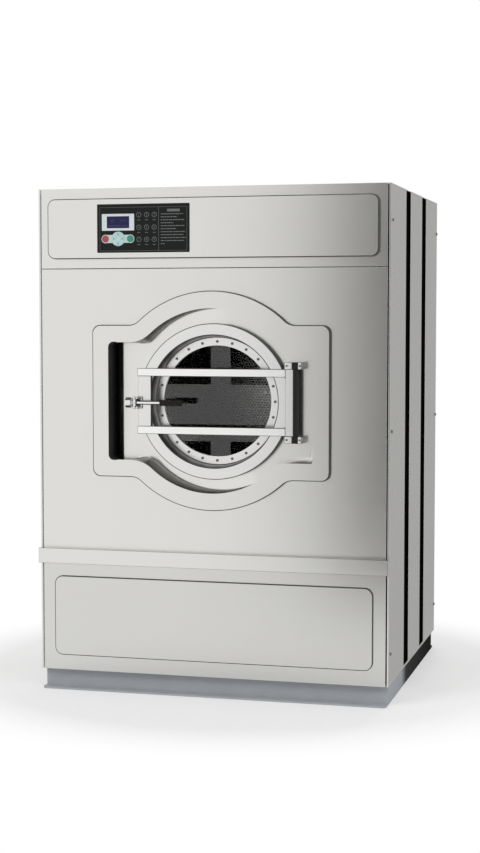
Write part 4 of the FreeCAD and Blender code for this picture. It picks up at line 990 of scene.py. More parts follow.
def surround_height(x, z, inset):
    """Y of the pressed surround at a spot that lies inset from its outline."""
    edge = 0.0
    if inset < EDGE_FILLET:
        edge = EDGE_FILLET - math.sqrt(EDGE_FILLET ** 2 - (EDGE_FILLET - inset) ** 2)
    depth = recess_depth(x, z)
    run = RECESS_LIP + recess_draft(x) * depth
    share = min(max((inset - RECESS_INSET) / run, 0.0), 1.0)
    wall = 1 - (1 - share) ** 2
    roll = 0.0
    lean = (SLOT_RIGHT + SLOT_ROLL - x) / SLOT_ROLL
    if lean > 0 and inset > RECESS_INSET:
        lean = min(lean, SLOT_ROLL_LIMIT)
        roll = SLOT_ROLL * (1 - math.sqrt(1 - lean * lean))
    return edge - SURROUND_PROUD + wall * (depth + roll)


def surround_insets():
    """How far each loop of the surround lies in from its outline, up to the foot of the wall."""
    insets = [inset for inset, drop in fillet_steps(EDGE_FILLET, 6)]
    insets += [EDGE_STRIP, *FACE_INSETS, RECESS_INSET - LIP_GUARD, RECESS_INSET]
    for step in range(1, LIP_STEPS + 1):
        insets.append(RECESS_INSET + RECESS_LIP * step / LIP_STEPS)
    for step in range(1, WALL_STEPS + 1):
        insets.append(RECESS_INSET + RECESS_LIP + WALL_PITCH * step)
    return insets + [RECESS_INNER]


def surround_grid():
    """Loops of (x, z) spots from the surround's outline to the door hole, and each spot's inset."""
    loops = []
    depths = []
    for inset in surround_insets():
        share = min(inset / RECESS_INSET, 1.0)
        corner = SURROUND_CORNER + (RECESS_CORNER - SURROUND_CORNER) * share
        loops.append(surround_loop(inset, corner))
        depths += [inset] * len(loops[-1])
    last = loops[-1]
    edge = surround_loop(RECESS_INSET, RECESS_CORNER)
    for step in range(1, HOLE_STEPS + 1):
        loop = []
        for x, z in last:
            turn = math.atan2(z - DOOR_Z, x - DOOR_X)
            hole_x = DOOR_X + DOOR_HOLE * math.cos(turn)
            hole_z = DOOR_Z + DOOR_HOLE * math.sin(turn)
            spot = (x + (hole_x - x) * step / HOLE_STEPS, z + (hole_z - z) * step / HOLE_STEPS)
            loop.append(spot)
            depths.append(RECESS_INSET + min(math.dist(spot, other) for other in edge))
        loops.append(loop)
    return loops, depths


def flat_surround():
    """The surround as a flat shape in millimetres that keeps each spot's inset in a layer."""
    loops, depths = surround_grid()
    points, faces, _ = skin([[(x, 0.0, z) for x, z in loop] for loop in loops])
    shape = bmesh.new()
    inset_of = shape.verts.layers.float.new("inset")
    spots = []
    for place, depth in zip(points, depths):
        spot = shape.verts.new(place)
        spot[inset_of] = depth
        spots.append(spot)
    for corners in faces:
        shape.faces.new([spots[corner] for corner in corners])
    return shape, inset_of


def least_inset(part, inset_of):
    """Smallest inset of the corners of a face or an edge."""
    return min(corner[inset_of] for corner in part.verts)


def most_inset(part, inset_of):
    """Largest inset of the corners of a face or an edge."""
    return max(corner[inset_of] for corner in part.verts)


def recess_floor(shape, inset_of, limit):
    """Faces of the recess whose middles lie to the left of a limit."""
    return [face for face in shape.faces
            if face.calc_center_median().x < limit
            and least_inset(face, inset_of) > RECESS_INSET - TOUCH]


def cut_slot(shape, inset_of):
    """Cut the slot out of the recess floor, with fine rows where the floor rolls into it."""
    for offset in SLOT_CUTS:
        near = recess_floor(shape, inset_of, SLOT_REACH)
        parts = dict.fromkeys(near)
        for face in near:
            parts.update(dict.fromkeys(face.edges))
            parts.update(dict.fromkeys(face.verts))
        bmesh.ops.bisect_plane(shape, geom=list(parts), dist=1e-4,
                               plane_co=(SLOT_RIGHT + offset, 0, 0), plane_no=(1, 0, 0))
    bmesh.ops.delete(shape, geom=recess_floor(shape, inset_of, SLOT_RIGHT), context="FACES")


def door_surround():
    """Pressed surround with its recesses, and the black pocket behind its slot, whose black also stands
    in for the shade there.
    """
    shape, inset_of = flat_surround()
    cut_slot(shape, inset_of)
    border = [edge for edge in shape.edges if edge.is_boundary]
    rim = [edge for edge in border
           if max(corner.co.x for corner in edge.verts) < SLOT_RIGHT + TOUCH
           and least_inset(edge, inset_of) > RECESS_INSET - TOUCH]
    foot = [edge for edge in border if most_inset(edge, inset_of) < OUTLINE_TOUCH]
    for spot in shape.verts:
        height = surround_height(spot.co.x, spot.co.z, spot[inset_of])
        spot.co = at(spot.co.x, height, spot.co.z)
    # Faces at the outline take the dark strip of painted shade, and so does the wall below.
    for face in shape.faces:
        face.material_index = 1 if most_inset(face, inset_of) < EDGE_STRIP + TOUCH else 0
    pocket = pocket_from(rim)
    wall = bmesh.ops.extrude_edge_only(shape, edges=foot)["geom"]
    for part in wall:
        if isinstance(part, bmesh.types.BMVert):
            part.co.y = at(0, 0, 0).y
        if isinstance(part, bmesh.types.BMFace):
            part.material_index = 1
    bmesh.ops.recalc_face_normals(shape, faces=shape.faces)
    if sum(face.normal.y for face in shape.faces if abs(face.normal.y) > FRONT_FACING) > 0:
        bmesh.ops.reverse_faces(shape, faces=shape.faces)
    mesh = bpy.data.meshes.new("door_surround_pressing")
    shape.to_mesh(mesh)
    shape.free()
    mesh.materials.append(pressed_steel)
    mesh.materials.append(edge_shadow)
    smoothed(mesh, PRESSED_SMOOTH_ANGLE)
    thickness(stand_in("door_surround", mesh), PRESSED_SHEET)
    thickness(stand_in("hand_pocket", pocket), PRESSED_SHEET)


def thickness(piece, width):
    """Give a sheet its wall, behind the side that shows."""
    modifier = piece.modifiers.new("sheet", "SOLIDIFY")
    modifier.thickness = width * MM
    modifier.offset = -1.0


def pocket_from(rim):
    """Black pocket drawn back from the edge of the slot; its black also stands in for the deep shade in
    the slot.
    """
    shape = bmesh.new()
    fronts = {}
    backs = {}
    for edge in rim:
        for spot in edge.verts:
            if spot not in fronts:
                fronts[spot] = shape.verts.new(spot.co)
                backs[spot] = shape.verts.new((spot.co.x, at(0, SLOT_BACK, 0).y, spot.co.z))
    closing = []
    for edge in rim:
        first, second = edge.verts
        shape.faces.new((fronts[first], fronts[second], backs[second], backs[first]))
        closing.append(shape.edges.get((backs[first], backs[second])))
    bmesh.ops.edgeloop_fill(shape, edges=closing)
    bmesh.ops.recalc_face_normals(shape, faces=shape.faces)
    floor_face = max(shape.faces, key=lambda face: face.calc_center_median().y)
    if floor_face.normal.y > 0:
        bmesh.ops.reverse_faces(shape, faces=shape.faces)
    mesh = bpy.data.meshes.new("hand_pocket_liner")
    shape.to_mesh(mesh)
    shape.free()
    mesh.materials.append(pocket_black)
    smoothed(mesh, EASED_SMOOTH_ANGLE)
    return mesh


# Repeated pieces
def geometry_tree(name, inputs):
    """A geometry node tree with named inputs; gives the tree and its input sockets."""
    tree = bpy.data.node_groups.new(name, "GeometryNodeTree")
    tree.interface.new_socket("Geometry", in_out="INPUT", socket_type="NodeSocketGeometry")
    for label, kind in inputs:
        tree.interface.new_socket(label, in_out="INPUT", socket_type="NodeSocket" + kind)
    tree.interface.new_socket("Geometry", in_out="OUTPUT", socket_type="NodeSocketGeometry")
    return tree, tree.nodes.new("NodeGroupInput").outputs


def end_tree(tree, geometry, material):
    """Realize the copies, give them their material and close the tree."""
    realize = tree.nodes.new("GeometryNodeRealizeInstances")
    feed(tree, realize.inputs[0], geometry)
    finish = tree.nodes.new("GeometryNodeSetMaterial")
    feed(tree, finish.inputs["Geometry"], realize.outputs[0])
    feed(tree, finish.inputs["Material"], material)
    feed(tree, tree.nodes.new("NodeGroupOutput").inputs[0], finish.outputs[0])


def grown(name, tree, start, values):
    """Run a geometry node tree on a start mesh and give the plain mesh it makes."""
    holder = bpy.data.objects.new(name + "_holder", start)
    bpy.context.scene.collection.objects.link(holder)
    modifier = holder.modifiers.new(name, "NODES")
    modifier.node_group = tree
    identifiers = {item.name: item.identifier for item in tree.interface.items_tree
                   if item.in_out == "INPUT"}
    for label, value in values.items():
        modifier[identifiers[label]] = value
    bpy.context.view_layer.update()
    graph = bpy.context.evaluated_depsgraph_get()
    mesh = bpy.data.meshes.new_from_object(holder.evaluated_get(graph), depsgraph=graph)
    mesh.name = name
    bpy.data.objects.remove(holder)
    return mesh


def position(tree):
    """The place of each point."""
    return tree.nodes.new("GeometryNodeInputPosition").outputs[0]


def turned_to(tree, vector):
    """A rotation that turns an item's top towards a vector."""
    node = tree.nodes.new("FunctionNodeAlignRotationToVector")
    node.axis = "Z"
    feed(tree, node.inputs["Vector"], vector)
    return node.outputs["Rotation"]


def on_points(tree, points, item, rotation=None):
    """One copy of an item on every point."""
    node = tree.nodes.new("GeometryNodeInstanceOnPoints")
    feed(tree, node.inputs["Points"], points)
    feed(tree, node.inputs["Instance"], item)
    if rotation is not None:
        feed(tree, node.inputs["Rotation"], rotation)
    return node.outputs["Instances"]


def copies_at_spots_tree():
    """One item on every spot, turned so that its top looks along the spot's facing."""
    tree, source = geometry_tree("copies_at_spots", [("Item", "Object"), ("Material", "Material")])
    item = tree.nodes.new("GeometryNodeObjectInfo")
    feed(tree, item.inputs["Object"], source["Item"])
    facing = tree.nodes.new("GeometryNodeInputNamedAttribute")
    facing.data_type = "FLOAT_VECTOR"
    facing.inputs["Name"].default_value = "facing"
    rotation = turned_to(tree, facing.outputs["Attribute"])
    items = on_points(tree, source["Geometry"], item.outputs["Geometry"], rotation)
    end_tree(tree, items, source["Material"])
    return tree


def hole_discs(tree, source, points, rotation=None):
    """Small dark discs on points, for the holes of a perforated sheet; their dark is painted shade."""
    disc = tree.nodes.new("GeometryNodeMeshCircle")
    disc.fill_type = "NGON"
    disc.inputs["Vertices"].default_value = PERFORATION_SIDES
    feed(tree, disc.inputs["Radius"], source["Hole Radius"])
    return on_points(tree, points, disc.outputs["Mesh"], rotation)


def staggered_grid(tree, pitch, width, length):
    """Points in rows a pitch apart, every other row moved half a pitch along."""
    row_step = calc(tree, "MULTIPLY", pitch, math.sqrt(0.75))
    columns = calc(tree, "FLOOR", calc(tree, "DIVIDE", width, pitch))
    rows = calc(tree, "FLOOR", calc(tree, "DIVIDE", length, row_step))
    grid = tree.nodes.new("GeometryNodeMeshGrid")
    for axis, count, step in (("X", columns, pitch), ("Y", rows, row_step)):
        reach = calc(tree, "MULTIPLY", calc(tree, "SUBTRACT", count, 1.0), step)
        feed(tree, grid.inputs["Size " + axis], reach)
        feed(tree, grid.inputs["Vertices " + axis], count)
    along = split_up(tree, position(tree))["Y"]
    row = calc(tree, "ROUND", calc(tree, "DIVIDE", along, row_step))
    odd = calc(tree, "FLOORED_MODULO", row, 2.0)
    shift = calc(tree, "MULTIPLY", odd, calc(tree, "MULTIPLY", pitch, 0.5))
    moved = tree.nodes.new("GeometryNodeSetPosition")
    feed(tree, moved.inputs["Geometry"], grid.outputs["Mesh"])
    feed(tree, moved.inputs["Offset"], joined(tree, X=shift))
    return moved.outputs[0]


def perforated_disc_tree():
    """Holes over a round plate that faces the front, leaving its middle plain."""
    tree, source = geometry_tree("perforated_disc", [
        ("Pitch", "Float"), ("Hole Radius", "Float"), ("Disc Radius", "Float"),
        ("Plain Radius", "Float"), ("Centre", "Vector"), ("Material", "Material")])
    wide = calc(tree, "MULTIPLY", source["Disc Radius"], 2.0)
    points = staggered_grid(tree, source["Pitch"], wide, wide)
    reach = length_of(tree, position(tree))
    outside = calc(tree, "GREATER_THAN", reach, source["Disc Radius"])
    inside = calc(tree, "LESS_THAN", reach, source["Plain Radius"])
    cut = tree.nodes.new("GeometryNodeDeleteGeometry")
    feed(tree, cut.inputs["Geometry"], points)
    feed(tree, cut.inputs["Selection"], calc(tree, "MAXIMUM", outside, inside))
    upright = tree.nodes.new("GeometryNodeTransform")
    feed(tree, upright.inputs["Geometry"], hole_discs(tree, source, cut.outputs[0]))
    feed(tree, upright.inputs["Translation"], source["Centre"])
    upright.inputs["Rotation"].default_value = (math.pi / 2, 0.0, 0.0)
    end_tree(tree, upright.outputs[0], source["Material"])
    return tree


def perforated_shell_tree():
    """Holes round the inside of a drum shell whose axis runs front to back."""
    tree, source = geometry_tree("perforated_shell", [
        ("Pitch", "Float"), ("Hole Radius", "Float"), ("Shell Radius", "Float"),
        ("Shell Length", "Float"), ("Centre", "Vector"), ("Material", "Material")])
    radius = source["Shell Radius"]
    round_way = calc(tree, "MULTIPLY", radius, 2 * math.pi)
    points = staggered_grid(tree, source["Pitch"], round_way, source["Shell Length"])
    flat = split_up(tree, position(tree))
    turn = calc(tree, "DIVIDE", flat["X"], radius)
    wrapped = joined(tree, X=calc(tree, "MULTIPLY", calc(tree, "COSINE", turn), radius), Y=flat["Y"],
                     Z=calc(tree, "MULTIPLY", calc(tree, "SINE", turn), radius))
    rolled = tree.nodes.new("GeometryNodeSetPosition")
    feed(tree, rolled.inputs["Geometry"], points)
    feed(tree, rolled.inputs["Position"], vector_calc(tree, "ADD", wrapped, source["Centre"]))
    to_centre = vector_calc(tree, "SUBTRACT", source["Centre"], position(tree))
    inward = vector_calc(tree, "MULTIPLY", to_centre, (1.0, 0.0, 1.0))
    holes = hole_discs(tree, source, rolled.outputs[0], turned_to(tree, inward))
    end_tree(tree, holes, source["Material"])
    return tree


COPIES_AT_SPOTS = copies_at_spots_tree()
PERFORATED_DISC = perforated_disc_tree()
PERFORATED_SHELL = perforated_shell_tree()


def copies(name, item_mesh, spots, material):
    """A mesh with one copy of an item at every spot, given as (place, facing)."""
    start = bpy.data.meshes.new(name + "_spots")
    start.from_pydata([place for place, facing in spots], [], [])
    facings = start.attributes.new("facing", "FLOAT_VECTOR", "POINT")
    for index, (place, facing) in enumerate(spots):
        facings.data[index].vector = facing
    item = bpy.data.objects.new(name + "_item", item_mesh)
    bpy.context.scene.collection.objects.link(item)
    mesh = grown(name, COPIES_AT_SPOTS, start, {"Item": item, "Material": material})
    bpy.data.objects.remove(item)
    return mesh


def socket_head(name, radius, height, sides=18):
    """A low screw head with a rounded edge and a hexagon socket, standing on its spot."""
    rounding = HEAD_ROUNDING * height
    socket = HEAD_SOCKET * radius
    section = [(radius, -HEAD_SUNK), (radius, height - 2 * rounding),
               (radius - 0.3 * rounding, height - 0.8 * rounding), (radius - rounding, height),
               (socket, height), (SOCKET_TAPER * socket, SOCKET_FLOOR * height)]
    loops = []
    for reach, rise in section:
        loop = []
        for step in range(sides):
            turn = 2 * math.pi * step / sides
            out = reach
            if reach <= socket:
                out *= math.cos(math.pi / 6) / math.cos(turn % (math.pi / 3) - math.pi / 6)
            loop.append(Vector((out * math.cos(turn), out * math.sin(turn), rise)) * MM)
        loops.append(loop)
    points, faces, _ = skin(loops, cap_first=True, cap_last=True)
    return tidied(mesh_from(name, points, faces, [bolt_steel]))


# Cabinet
def pale_seam(piece, looking=0):
    """Painted light: a pale coat on the left half of a piece, on faces that look one way or on all, so
    that the seam reads lighter.
    """
    mesh = piece.data
    mesh.materials.append(seam_light_paint)
    for face in mesh.polygons:
        if face.center.x < 0 and (looking == 0 or face.normal.x * looking > SIDE_FACING):
            face.material_index = 2


def cabinet():
    """Folded panels, the raised fields with their dark edges of painted shade, rails and fittings at the
    back.
    """
    for node, finish in (("header_panel", satin_front), ("front_panel", satin_front),
                         ("lower_panel", satin_low)):
        pale_seam(eased(node, FRONT_EASE, finish), -1)
    # The belt trim's edges are outlined in painted shade.
    eased("belt_trim", FRONT_EASE, satin_front, 2, edge_shadow)
    # Black posts stand in for the shade in the seams; their left half takes the painted light.
    pale_seam(eased("corner_posts", POST_EASE, black_steel))
    pale_seam(eased("side_panels", SHEET_EASE, satin_side), 1)
    eased("top_panel", SHEET_EASE, satin_front)
    eased("rear_panel", SHEET_EASE, satin_side)
    eased("base_rails", RAIL_EASE, base_paint, 3)
    raised_field("header_fascia", FASCIA_CORNER, satin_front)
    raised_field("access_panel", ACCESS_CORNER, satin_low)
    door_surround()
    for node, finish in (("drain_pipe", grey_plastic), ("inlet_valves", turned_brass),
                         ("cable_gland", pocket_black)):
        eased(node, FITTING_EASE, finish)


def panel_screws():
    """Screws along the side panels' edges and down the back."""
    side_low, side_high = span("side_panels")
    head_height = span("panel_screws")[1].x - side_high.x
    spots = []
    for z in SCREW_HEIGHTS:
        for y in SIDE_SCREW_DEPTHS:
            spots.append((at(side_high.x, y, z), (1, 0, 0)))
            spots.append((at(side_low.x, y, z), (-1, 0, 0)))
        for side in (-1, 1):
            spots.append((at(side * REAR_SCREW_ACROSS, side_high.y, z), (0, 1, 0)))
    head = socket_head("screw_head", SCREW_HEAD, head_height)
    stand_in("panel_screws", copies("panel_screw_heads", head, spots, bolt_steel))


# Door
def spun_dish():
    """Dish of the door: bright rim with edges of painted shade, skirt in painted shade at the right, and
    a dull cone with painted shade at its mouth.
    """
    seat = CLAMP_OUTER + CLAMP_SEAT
    back = DISH_FLOOR + SHEET
    corners = [(RIM_OUTER, RIM_SKIRT), (RIM_OUTER, RIM_FACE), (DISH_MOUTH, RIM_FACE),
               (seat, DISH_FLOOR), (CLEAR_RADIUS, DISH_FLOOR), (CLEAR_RADIUS, back),
               (seat + SHEET, back), (DISH_MOUTH + SHEET, RIM_FACE + SHEET),
               (RIM_OUTER - SHEET, RIM_FACE + SHEET), (RIM_OUTER - SHEET, RIM_SKIRT)]
    radii = (0.6, 2.5, 3.0, 1.2, 0.6, 0.6, 1.5, 1.0, 1.0, 0.6)
    steps = 5
    face_row = 2 * steps + 1
    cone_row = 3 * steps + 2

    def finish_of(row):
        if row <= steps or row == face_row:
            return 0
        return 1 if row < cone_row else 2

    dish = turned("door_dish_spun", softened(corners, radii, steps), "Y", (DOOR_X, DOOR_Z),
                  [spun_steel, edge_shadow, cone_steel], ROUND_STEPS, finish_of)
    # Skirt faces that look right take painted shade.
    for face in dish.polygons:
        if face.material_index == 0 and face.normal.x > SKIRT_SHADE:
            face.material_index = 1
    even_normals(stand_in("door_dish", dish))


def clamped_glass():
    """Clamp ring, glass, and the bolts round them."""
    face = clamp_low.y
    ring = [(CLEAR_RADIUS, face), (CLAMP_OUTER, face), (CLAMP_OUTER, clamp_high.y),
            (CLEAR_RADIUS, clamp_high.y)]
    clamp = turned("clamp_ring", softened(ring, (0.8, 0.8, 0.4, 0.4), 3), "Y", (DOOR_X, DOOR_Z),
                   [spun_steel], ROUND_STEPS)
    even_normals(stand_in("glass_clamp_ring", clamp))
    inner = GLASS_RADIUS - PANE_EDGE
    disc = [(0.0, glass_low.y), (inner, glass_low.y), (GLASS_RADIUS, glass_low.y),
            (GLASS_RADIUS, glass_high.y), (inner, glass_high.y), (0.0, glass_high.y)]
    pane = turned("glass_pane", softened(disc, (0, 0, 0.8, 0.8, 0, 0), 3), "Y", (DOOR_X, DOOR_Z),
                  [door_glass], PANE_STEPS)
    even_normals(stand_in("door_glass", pane))
    spots = []
    for index in range(BOLT_COUNT):
        turn = 2 * math.pi * index / BOLT_COUNT
        x = DOOR_X + BOLT_CIRCLE * math.cos(turn)
        z = DOOR_Z + BOLT_CIRCLE * math.sin(turn)
        spots.append((at(x, face, z), (0, -1, 0)))
    head = socket_head("bolt_head", BOLT_HEAD, face - span("clamp_bolts")[0].y)
    stand_in("clamp_bolts", copies("clamp_bolt_heads", head, spots, bolt_steel))


def door_fittings():
    """Crossbars with their end plates, the hinge, and the latch's bracket and lever."""
    # Edges of painted shade outline the bars, plates, brackets and lever.
    eased("door_bars", BAR_EASE, bar_steel, 3, edge_shadow)
    eased("door_end_plates", BAR_EASE, plate_steel, 3, edge_shadow)
    eased("hinge_brackets", BRACKET_EASE, turned_steel, 2, edge_shadow)
    eased("hinge_pin", FITTING_EASE, black_steel)
    eased("latch_bracket", FRONT_EASE, turned_steel, 2, edge_shadow)
    lever = eased("latch_lever", FRONT_EASE, latch_steel, 2, edge_shadow).data
    # The nut keeps plain turned steel without the rod's painted side shade.
    lever.materials.append(turned_steel)
    nut_end = at(span("latch_lever")[0].x + LEVER_NUT, 0, 0).x
    for face in lever.polygons:
        if face.material_index == 0 and face.center.x < nut_end:
            face.material_index = 2
    low, high = span("hinge_tube")
    radius = (high.x - low.x) / 2
    wall = [(radius, low.z), (radius, high.z), (TUBE_BORE, high.z), (TUBE_BORE, low.z)]
    tube = turned("hinge_tube_turned", softened(wall, (0.8, 0.8, 0.3, 0.3), 3), "Z",
                  ((low.x + high.x) / 2, (low.y + high.y) / 2), [black_steel], TUBE_STEPS)
    stand_in("hinge_tube", tube)


def hinge_screws():
    """Two small screws in the front of each hinge bracket."""
    low, high = span("hinge_brackets")
    tube_low, tube_high = span("hinge_tube")
    pin_right = span("hinge_pin")[1].x
    spots = []
    for z in ((low.z + tube_low.z) / 2, (high.z + tube_high.z) / 2):
        for x in (low.x + HINGE_SCREW_IN, (pin_right + high.x) / 2):
            spots.append((at(x, low.y, z), (0, -1, 0)))
    head = socket_head("hinge_screw_head", HINGE_SCREW_HEAD, HINGE_SCREW_RISE)
    screws = copies("hinge_screw_heads", head, spots, bolt_steel)
    put("hinge_screws", screws, BODY_OF["hinge_brackets"], SLOT_OF["clamp_bolts"])


def lever_grip():
    """Ribbed grip on the lever's rod, with a rounded end."""
    low, high = span("lever_grip")
    radius = (high.z - low.z) / 2
    crest = radius - GRIP_EASE
    ribbed = high.x - low.x - GRIP_COLLAR - GRIP_NOSE - GRIP_GAP
    section = [(LEVER_ROD, low.x), (radius - GRIP_LEAD_START, low.x),
               (radius - GRIP_LEAD_END, low.x + GRIP_LEAD)]
    samples = GRIP_RIBS * GRIP_RIB_STEPS
    for step in range(samples + 1):
        share = step / samples
        dip = 0.5 - 0.5 * math.cos(2 * math.pi * GRIP_RIBS * share)
        section.append((crest - GRIP_RIB_DEPTH * dip, low.x + GRIP_COLLAR + ribbed * share))
    nose = high.x - GRIP_NOSE
    for step in range(GRIP_NOSE_STEPS + 1):
        turn = math.radians(90 * step / GRIP_NOSE_STEPS)
        section.append((crest * math.cos(turn), nose + GRIP_NOSE * math.sin(turn)))
    section += [(0.0, nose + GRIP_GAP), (LEVER_ROD, nose)]
    centre = ((low.y + high.y) / 2, (low.z + high.z) / 2)
    grip = turned("lever_grip_ribbed", section, "X", centre, [grip_brown], TUBE_STEPS)
    stand_in("lever_grip", grip)


def door():
    """The door with all that it carries."""
    spun_dish()
    clamped_glass()
    door_fittings()
    hinge_screws()
    lever_grip()


# Drum
def drum_perforation():
    """Holes in the drum's back plate and round its shell."""
    plate_low, plate_high = span("drum_back_plate")
    radius = (plate_high.x - plate_low.x) / 2
    disc = grown("back_plate_holes", PERFORATED_DISC, bpy.data.meshes.new("back_start"), {
        "Pitch": BACK_PITCH * MM, "Hole Radius": BACK_HOLE * MM,
        "Disc Radius": (radius - BACK_MARGIN) * MM, "Plain Radius": BACK_PLAIN * MM,
        "Centre": at(DOOR_X, plate_low.y - BACK_LIFT, DOOR_Z), "Material": painted_hole_shade})
    put("drum_back_holes", disc, BODY_OF["drum_back_plate"], "black_steel")
    shell_front = span("drum_shell")[0].y
    length = plate_low.y - shell_front
    shell = grown("drum_shell_holes", PERFORATED_SHELL, bpy.data.meshes.new("shell_start"), {
        "Pitch": SHELL_PITCH * MM, "Hole Radius": SHELL_HOLE * MM, "Shell Radius": SHELL_INNER * MM,
        "Shell Length": (length - SHELL_MARGIN) * MM,
        "Centre": at(DOOR_X, shell_front + length / 2, DOOR_Z), "Material": painted_hole_shade})
    put("drum_shell_holes", shell, BODY_OF["drum_shell"], "black_steel")


# Keypad
def keypad_spot(across, down):
    """X and Z of a spot on the keypad."""
    return keypad_low.x + across, keypad_high.z - down


class Print:
    """Flat printed shapes gathered into one thin mesh on a face of the keypad."""

    def __init__(self, y):
        self.y = y
        self.shape = bmesh.new()

    def outline(self, spots):
        """One filled outline, given anticlockwise as seen from the front."""
        corners = [self.shape.verts.new(at(x, self.y, z)) for x, z in spots]
        self.shape.faces.new(corners)

    def bar(self, left, right, bottom, top):
        """A filled rectangle."""
        self.outline([(left, bottom), (right, bottom), (right, top), (left, top)])

    def frame(self, left, right, bottom, top, width):
        """The outline of a rectangle, in lines of one width."""
        self.bar(left, right, bottom, bottom + width)
        self.bar(left, right, top - width, top)
        self.bar(left, left + width, bottom + width, top - width)
        self.bar(right - width, right, bottom + width, top - width)

    def text(self, words, x, z, size):
        """Plain figures, centred on a spot."""
        curve = bpy.data.curves.new("figures", "FONT")
        curve.body = words
        curve.size = size * MM
        curve.align_x = "CENTER"
        curve.align_y = "CENTER"
        curve.resolution_u = 3
        holder = bpy.data.objects.new("figures_holder", curve)
        bpy.context.scene.collection.objects.link(holder)
        bpy.context.view_layer.update()
        graph = bpy.context.evaluated_depsgraph_get()
        mesh = bpy.data.meshes.new_from_object(holder.evaluated_get(graph))
        mesh.transform(Matrix.Translation(at(x, self.y, z)) @ Matrix.Rotation(math.pi / 2, 4, "X"))
        self.shape.from_mesh(mesh)
        bpy.data.objects.remove(holder)

    def put(self, name, material, body, slot, wall=PRINT_WALL):
        """Put the print into the scene as a piece."""
        mesh = bpy.data.meshes.new(name)
        self.shape.to_mesh(mesh)
        self.shape.free()
        mesh.materials.clear()
        mesh.materials.append(material)
        thickness(put(name, mesh, body, slot), wall)


def plate_loops(node, corner, fillet):
    """Loops of a flat plate from its back to its face, with a small fillet round the face."""
    x, z, width, height = front_view(node)
    low, high = span(node)
    loops = [rounded_loop(x, z, width, height, corner, high.y)]
    for inset, drop in fillet_steps(fillet, 3):
        loops.append(rounded_loop(x, z, width - 2 * inset, height - 2 * inset, corner - inset,
                                  low.y + drop))
    return loops


def keypad_plate():
    """Black plate of the keypad."""
    loops = plate_loops("keypad", KEYPAD_CORNER, KEYPAD_FILLET)
    points, faces, _ = skin(loops, cap_first=True, cap_last=True)
    mesh = mesh_from("keypad_plate", points, faces, [keypad_black])
    even_normals(stand_in("keypad", tidied(mesh)))


def keypad_lines():
    """Printed border of the keypad and the line that divides it."""
    _, _, width, height = front_view("keypad")
    left, top = keypad_spot(BORDER_LEFT, BORDER_TOP)
    right, bottom = keypad_spot(width - BORDER_RIGHT, height - BORDER_FOOT)
    lines = Print(KEYPAD_FACE - PRINT_LIFT)
    lines.frame(left, right, bottom, top, BORDER_LINE)
    divider, _ = keypad_spot(DIVIDER_ACROSS, 0)
    lines.bar(divider - DIVIDER_HALF, divider + DIVIDER_HALF, bottom + BORDER_LINE, top - BORDER_LINE)
    lines.put("keypad_lines", print_grey, BODY_OF["keypad"], SLOT_OF["keypad"])


def dashed_rules(figures):
    """Rows of short dashes of several lengths, with a blank bar above them."""
    start, _ = keypad_spot(RULES_ACROSS, 0)
    for index, length in enumerate(RULE_LENGTHS):
        _, z = keypad_spot(0, RULES_DOWN + RULE_PITCH * index)
        dash = start
        step = index
        while dash < start + length:
            end = min(dash + RULE_DASHES[step % len(RULE_DASHES)], start + length)
            figures.bar(dash, end, z - RULE_HALF, z + RULE_HALF)
            dash = end + RULE_GAP
            step += 1
    x, z = keypad_spot(BLANK_BAR_ACROSS, BLANK_BAR_DOWN)
    figures.bar(x - BLANK_BAR_HALF_WIDTH, x + BLANK_BAR_HALF_WIDTH, z - BLANK_BAR_HALF_HEIGHT,
                z + BLANK_BAR_HALF_HEIGHT)


def flat_ring_item(name, inner, outer, sides=28):
    """A flat printed ring lying on its spot."""
    loops = []
    for radius in (outer, inner):
        loop = []
        for step in range(sides):
            turn = 2 * math.pi * step / sides
            loop.append(Vector((radius * math.cos(turn), radius * math.sin(turn), 0)) * MM)
        loops.append(loop)
    points, faces, _ = skin(loops)
    return mesh_from(name, points, faces, [print_pale])


def keypad_figures():
    """Ringed plain figures with a short bar under each, and the dashed rules beside them."""
    figures = Print(KEYPAD_FACE - PRINT_LIFT)
    number = 1
    ring_spots = []
    for down in PROGRAM_DOWN:
        for across in PROGRAM_ACROSS:
            x, z = keypad_spot(across, down)
            figures.text(str(number), x, z, FIGURE_SIZE)
            figures.bar(x - UNDERLINE_HALF, x + UNDERLINE_HALF, z - UNDERLINE_FOOT, z - UNDERLINE_TOP)
            ring_spots.append((at(x, KEYPAD_FACE - PRINT_LIFT, z), (0, -1, 0)))
            number += 1
    dashed_rules(figures)
    figures.put("keypad_figures", print_grey, BODY_OF["keypad"], SLOT_OF["keypad"])
    ring = flat_ring_item("program_ring", PROGRAM_RADIUS - PROGRAM_LINE, PROGRAM_RADIUS)
    rings = copies("program_rings", ring, ring_spots, print_pale)
    put("program_rings", rings, BODY_OF["keypad"], SLOT_OF["keypad"])


